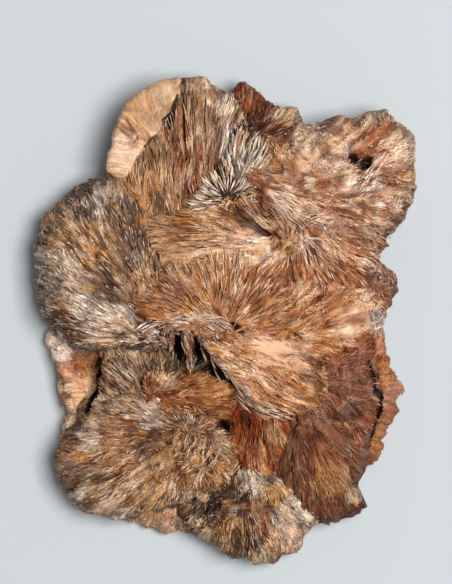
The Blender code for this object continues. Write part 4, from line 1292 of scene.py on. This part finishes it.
# The plate: a small tilted fan that lies in the cleft like a shingle.
# Rusty, with an ochre side and one cream corner.
plate_fan = Fan(
    17,
    root=(-23.5, -25.5),
    rim=((-28, -18.5), (-28.5, -29), (-26.5, -38.5), (-18, -44), (-8.5, -42.5), (-2, -38), (3.5, -34),
         (5.5, -29), (4, -23), (-4, -19.5), (-16, -18)),
    heights=(33, 35, 36.5, 36, 31),
    foot=0.86,
    source=(-26, -28),
    cling=0.3,
    reach=0,
)
PLATE_TONES = (stain(78, 34, 13), stain(194, 136, 94), stain(226, 184, 150))
PLATE_PATCHES = ((-3, -23.5, 6, OCHRE, 0.7), (-21.5, -27.2, 6, RUST, 0.6), (-19.6, -19.8, 4, CREAM, 0.7))
grow_fan("plate_fan", plate_fan, PLATE_TONES, PLATE_PATCHES, length=(3, 6))


# The south heart: a deep brown fan of hair-fine blades that fall from under the keel.
# It lies low between higher fans and so stays dark.
south_heart = Fan(
    18,
    root=(12, -30.5),
    rim=((2, -32), (-0.5, -40), (-0.5, -48.5), (3.5, -55.5), (12, -59.5), (23, -58.5), (30.5, -53),
         (31.5, -42), (28.5, -32.5), (17.5, -27.5), (8, -28.5)),
    heights=(36, 34.5, 32, 29, 24),
    foot=0.86,
    source=(8, -5),
)
SOUTH_HEART_TONES = (stain(62, 22, 8), stain(166, 85, 42), stain(214, 158, 112))
# Painted shade: the near-black patch lies in the open gap at its left edge.
SOUTH_HEART_PATCHES = ((1, -39, 4, NEAR_BLACK, 0.7), (19.6, -40.9, 4, TAN, 0.8))
grow_fan("south_heart", south_heart, SOUTH_HEART_TONES, SOUTH_HEART_PATCHES, length=(3, 7),
         width=(0.3, 0.5), sway=4)


# The keel: the bright ridge across the middle, a fan tipped up on its right-hand root.
# Cream and tan strands run down it to the left and end in a thick pale free edge over the dark gap there.
keel_fan = Fan(
    19,
    root=(33, -24.5),
    rim=((-7.5, -7), (-0.5, -16.5), (6.5, -24.5), (11.5, -30), (17.5, -32.5), (25.5, -34), (33, -32.5),
         (37.5, -27), (38, -20), (36, -13), (30.5, -8.5), (25, -5.5), (18, -3.5), (12, -1), (6.5, -3),
         (-2.5, -5)),
    heights=(42, 44.5, 45, 43.5, 38),
    foot=0.9,
    slope=(-0.17, 0.08),
    source=(-10, -3),
    cling=0,
    reach=0,
)
KEEL_TONES = (stain(92, 46, 20), stain(212, 164, 128), stain(246, 210, 184))
EDGE_TONES = (stain(70, 34, 16), stain(200, 154, 122), stain(234, 200, 174))
KEEL_PATCHES = (
    (19.2, -8.7, 9, PINK, 0.8), (4.4, -14.2, 5, OCHRE, 0.5), (28.5, -23.5, 8, OCHRE, 0.3),
    (31.8, -19, 2.5, SLATE, 0.7), (-6.7, -10.5, 3, CHALK, 0.7), (-0.4, -18.7, 3, CHALK, 0.7),
    (8.1, -27.2, 3, CHALK, 0.7),
)
keel_fan.clean = ((19, -9, 8), (27, -17, 4))
grow_fan("keel_fan", keel_fan, KEEL_TONES, KEEL_PATCHES,
         strands(15, ((-6.8, -7.5), (-4.2, -13), (-0.5, -19.5), (5, -25.6), (10.5, -30.5), (20, -33)),
                 EDGE_TONES, 6, apart=0.75, long=(5, 10), thick=(0.6, 1.0), rise=0.6, pale=0.6),
         strands(16, ((-4.8, -5.4), (-0.7, -11.3), (4.1, -18.7), (10, -25.3), (17.4, -29.8)), KEEL_TONES, 3,
                 apart=1.1, long=(3, 7), thick=(0.5, 0.8)),
         per_mm2=3.5, length=(2.5, 6.5), width=(0.28, 0.5), sway=5, slivers=0.07)


# The mauve fan: a dull purplish cushion under the hip, the darkest on the right side.
# Iron and clay have stained it mauve brown. A black jagged gap parts it from the east rim.
mauve_fan = Fan(
    20,
    root=(44, -30),
    rim=((30, -30.5), (29, -38.5), (35, -44.5), (47, -46), (55.5, -41), (58.5, -33.5), (58.5, -25.5),
         (56.5, -15.5), (53, -7), (46, -5.5), (39.5, -11.5), (34.5, -21)),
    heights=(37, 36.5, 35, 32, 26),
    foot=0.88,
    source=(32, -21),
)
MAUVE_TONES = (stain(64, 28, 16), stain(156, 95, 72), stain(200, 158, 136))
MAUVE_PATCHES = (
    (45.5, -32, 3, CREAM, 0.6), (44, -39, 3, TAN, 0.5), (36.6, -29, 5, RUST, 0.5), (37, -21, 4, OCHRE, 0.5),
    (49, -20, 9, MAUVE, 0.6), *flecks(210, 46, -26, 14, 30, UMBER, MAUVE, BROWN, RUST, strength=0.7),
)
grow_fan("mauve_fan", mauve_fan, MAUVE_TONES, MAUVE_PATCHES,
         *burst(60, 45, -31, 3, range(6), MAUVE_TONES, long=(2, 3.5), thick=(0.25, 0.45), pale=0.9),
         length=(2, 4.5), width=(0.3, 0.55), pale=0.2, sway=9, slivers=0.06)


# The south-east fan: a brown cushion at the lower right.
# Low in contrast, mauve brown all over, with rust and ochre towards its rim.
south_east_fan = Fan(
    21,
    root=(31.5, -41),
    rim=((22, -44), (20.5, -53), (23.5, -64), (28.5, -71), (35, -74), (39.5, -75), (44.5, -74),
         (49, -72.5), (52, -70.5), (53.5, -68), (52, -64), (51, -60), (52.5, -55), (53, -46), (50, -38),
         (37.5, -32), (25, -34.5)),
    heights=(37, 37.5, 35, 29, 18),
    foot=0.84,
    source=(28, -28),
)
south_east_fan.smoothness = 0.35
SOUTH_EAST_TONES = (stain(72, 34, 18), stain(132, 86, 62), stain(172, 132, 108))
SOUTH_EAST_PATCHES = (
    (36.8, -49.8, 5, RUST, 0.5), (37.7, -57.2, 5, OCHRE, 0.6), (48.8, -64.2, 2.5, CREAM, 0.8),
)
grow_fan("south_east_fan", south_east_fan, SOUTH_EAST_TONES, SOUTH_EAST_PATCHES, pale=0.2, slivers=0.06)


# The south fan: the round fan at the foot of the specimen, with a pale outer rim.
# Brown and slate in bands around an inner hollow that is painted dark as its shade.
south_fan = Fan(
    22,
    root=(10, -68),
    rim=((-11.5, -64.5), (-13, -72.5), (-10.5, -79), (-6.5, -82), (-1, -85.5), (4.5, -88), (10, -89.5),
         (15, -90), (19, -89), (22.5, -87), (27, -85.5), (29, -82.5), (30, -79.5), (32.5, -77),
         (34.5, -73.5), (33, -65.5), (28.5, -57), (21, -52.5), (12, -51), (2.5, -54), (-5.5, -59.5)),
    heights=(35, 34.5, 32, 27, 17),
    foot=0.84,
    source=(8, -47),
)
SOUTH_TONES = (stain(52, 26, 14), stain(168, 130, 102), stain(226, 198, 176))
SOUTH_PATCHES = (
    # Painted shade: the two near-black patches fill the open gap of the inner hollow.
    (-5, -62, 8, NEAR_BLACK, 0.9), (-4, -69, 6, NEAR_BLACK, 0.75), (12, -57, 4.5, CHALK, 0.8),
    (20, -62, 6, stain(226, 182, 134), 0.8), (14, -72, 6, RUST, 0.4), (3, -78, 6, OCHRE, 0.85),
    (27, -75, 8, CHALK, 0.95), (13, -87, 5, CREAM, 0.7), (-5, -82, 5, TAN, 0.6), (23, -81, 5.5, PINK, 0.9),
    *flecks(211, 10, -70, 20, 26, CREAM, UMBER, OCHRE, CHALK, NEAR_BLACK, BROWN),
)
grow_fan("south_fan", south_fan, SOUTH_TONES, SOUTH_PATCHES, length=(2, 5), sway=10, slivers=0.17,
         grainy=((0, -66, 8), (10, -62, 6), (-6, -74, 5)))


# The south-west fan: the broad fan at the lower left, combed out to the left like the west fan above it.
# Brown at its inner end, ochre in its middle, cream along its rim.
south_west_fan = Fan(
    23,
    root=(-10, -46),
    rim=((-45.5, -30), (-54.5, -37), (-59, -41.5), (-61, -47), (-62, -52), (-61, -57), (-59, -62.5),
         (-55.5, -67), (-52, -70), (-47.5, -71), (-43, -71.5), (-37.5, -73.5), (-30.5, -72.5),
         (-23.5, -68.5), (-16, -65), (-8.5, -61.5), (-2.5, -59), (1, -55), (2, -49.5), (0.5, -44),
         (-3.5, -39.5), (-10, -35.5), (-19.5, -32), (-32.5, -27.5)),
    heights=(37, 40.5, 40.5, 34, 21),
    foot=0.84,
    source=(-12, -41),
)
SOUTH_WEST_TONES = (stain(76, 43, 23), stain(178, 141, 112), stain(232, 206, 184))
SOUTH_WEST_PATCHES = (
    (-24, -55.3, 7, OCHRE, 0.9), (-26, -42, 7, UMBER, 0.7), (-53, -46, 7, RUST, 0.7),
    (-45.5, -36.4, 7, BROWN, 0.6), (-26, -33, 4.5, CHALK, 0.6), (-38, -31, 4, CREAM, 0.7),
    (-38, -48, 6, OCHRE, 0.5), (-48, -55, 5, SLATE, 0.5), (-47.4, -66, 8, CREAM, 0.6),
    (-56.6, -58.6, 6, SLATE, 0.6), (-27, -66, 7, TAN, 0.6), (-14, -60.5, 6, CREAM, 0.7),
    *flecks(212, -36, -52, 26, 60, CHALK, BROWN, OCHRE, UMBER, CREAM, RUST, strength=0.75),
)
grow_fan("south_west_fan", south_west_fan, SOUTH_WEST_TONES, SOUTH_WEST_PATCHES, length=(2, 4.8), stray=4,
         slivers=0.14)


# The shells: overlapping scales where the south-west fan meets the middle.
# Each is a thin bundle of blades with a pale scalloped rim, and lies a little lower than the one before it.
SHELL_COUNT = 4
SHELL_STEP = (4.0, -0.2, -2.1)  # millimetres from one scale to the next
SHELL_TONES = (stain(84, 46, 20), stain(176, 132, 92), stain(228, 200, 172))
SCALLOP_MIDDLE = (-20.5, -42)
SCALLOP_RADII = (7.5, 9.8, 12.1, 14.4, 16.7, 19)

shells = []
for k in range(SHELL_COUNT):
    away = np.array(SHELL_STEP) * k
    shell = Fan(
        24 + k,
        root=np.array((-17, -50)) + away[:2],
        rim=away[:2] + ((-22, -41), (-26, -50), (-23, -59), (-16, -61.5), (-10, -58.5), (-8, -51),
                        (-10, -43), (-16, -39)),
        heights=np.array((44, 43.8, 43.3, 42.5, 41)) + away[2],
        foot=0.9,
        slope=(0.22, -0.02),
        source=(-14, -41),
        cling=0,
        reach=0,
    )
    shells.append(shell_mesh(shell, SHELL_TONES, (), fine=0.9))
    shells.append(blades(shell, SHELL_TONES, (), length=(1.0, 2.2), pale=0.0, slivers=0.03))
rng = np.random.default_rng(90)
for k, radius in enumerate(SCALLOP_RADII):
    turns = np.radians(np.arange(-74 + 3 * k, 8 - 2 * k, 110 / radius))
    ragged = radius + 0.55 * np.sin(7 * turns + 2 * k) + rng.normal(0, 0.06, len(turns))
    route = SCALLOP_MIDDLE + np.column_stack([np.cos(turns), np.sin(turns)]) * ragged[:, None]
    shells.append(strands(50 + k, route, SHELL_TONES, 5, apart=0.22, long=(1.8, 3.0), thick=(0.25, 0.4),
                          rise=0.9, pale=0.7))
grown("shells", *shells)


# The strands: bundles of blades that hang from the heart's lower edge into the dark cleft.
# Each tapers to a tip. They are slate brown, with cream along their outer edges.

class Strand(Form):
    """A tapering bundle from its top to its tip, thickest near the top."""

    underside = 0

    def __init__(self, seed, top, tip, radius):
        super().__init__(seed, ((2, 4, 0.4), (1, 5, 0.2)))
        self.top = np.array(top, float)
        self.axis = np.array(tip, float) - self.top
        self.radius = radius
        self.girth = math.tau * radius
        self.length = np.linalg.norm(self.axis) + radius
        axis = self.axis / np.linalg.norm(self.axis)
        self.one = np.cross(axis, (1, 0, 0))
        self.one /= np.linalg.norm(self.one)
        self.two = np.cross(self.one, axis)

    def thick(self, along):
        """The radius at this place, as a share of the greatest."""
        return np.sin(math.pi * np.clip(along, 0, 1) ** 0.55)

    def ring(self, along):
        return self.girth * self.thick(along)

    def polar(self, points):
        away = points - self.top
        turn = np.arctan2(away @ self.two, away @ self.one) / math.tau
        return np.mod(turn, 1), away @ self.axis / self.length, np.full(len(points), self.girth)

    def streamed(self, place, out, heading, along, yaw):
        return heading

    def fitted(self, base, axis, long, along):
        return long

    def smooth(self, around, along):
        turn = around * math.tau
        side = np.cos(turn)[:, None] * self.one + np.sin(turn)[:, None] * self.two
        return self.top + along[:, None] * self.axis + side * (self.radius * self.thick(along))[:, None]


STRANDS = (
    ((-13.5, -0.5, 43), (-12, -16, 33), 2.3), ((-19, -1.5, 41.5), (-18.5, -8.5, 36), 1.6),
    ((-8.5, -1, 43.5), (-7.2, -9, 38), 2.0), ((-3.5, -2.5, 44), (-1.5, -8, 41), 1.8),
)
STRAND_TONES = (NEAR_BLACK, stain(150, 100, 68), CREAM)

bundles = []
for k, (top, tip, radius) in enumerate(STRANDS):
    strand = Strand(30 + k, top, tip, radius)
    bundles.append(shell_mesh(strand, STRAND_TONES, (), fine=0.5))
    bundles.append(blades(strand, STRAND_TONES, (), length=(2.5, 5), lift=(2, 10), proud=0.3, side=1.0))
    bundles.append(strands(30 + k, (top[:2], tip[:2]), STRAND_TONES, 4, thick=(0.6, 1.0), rise=0.2,
                           pale=0.35))
grown("strands", *bundles)
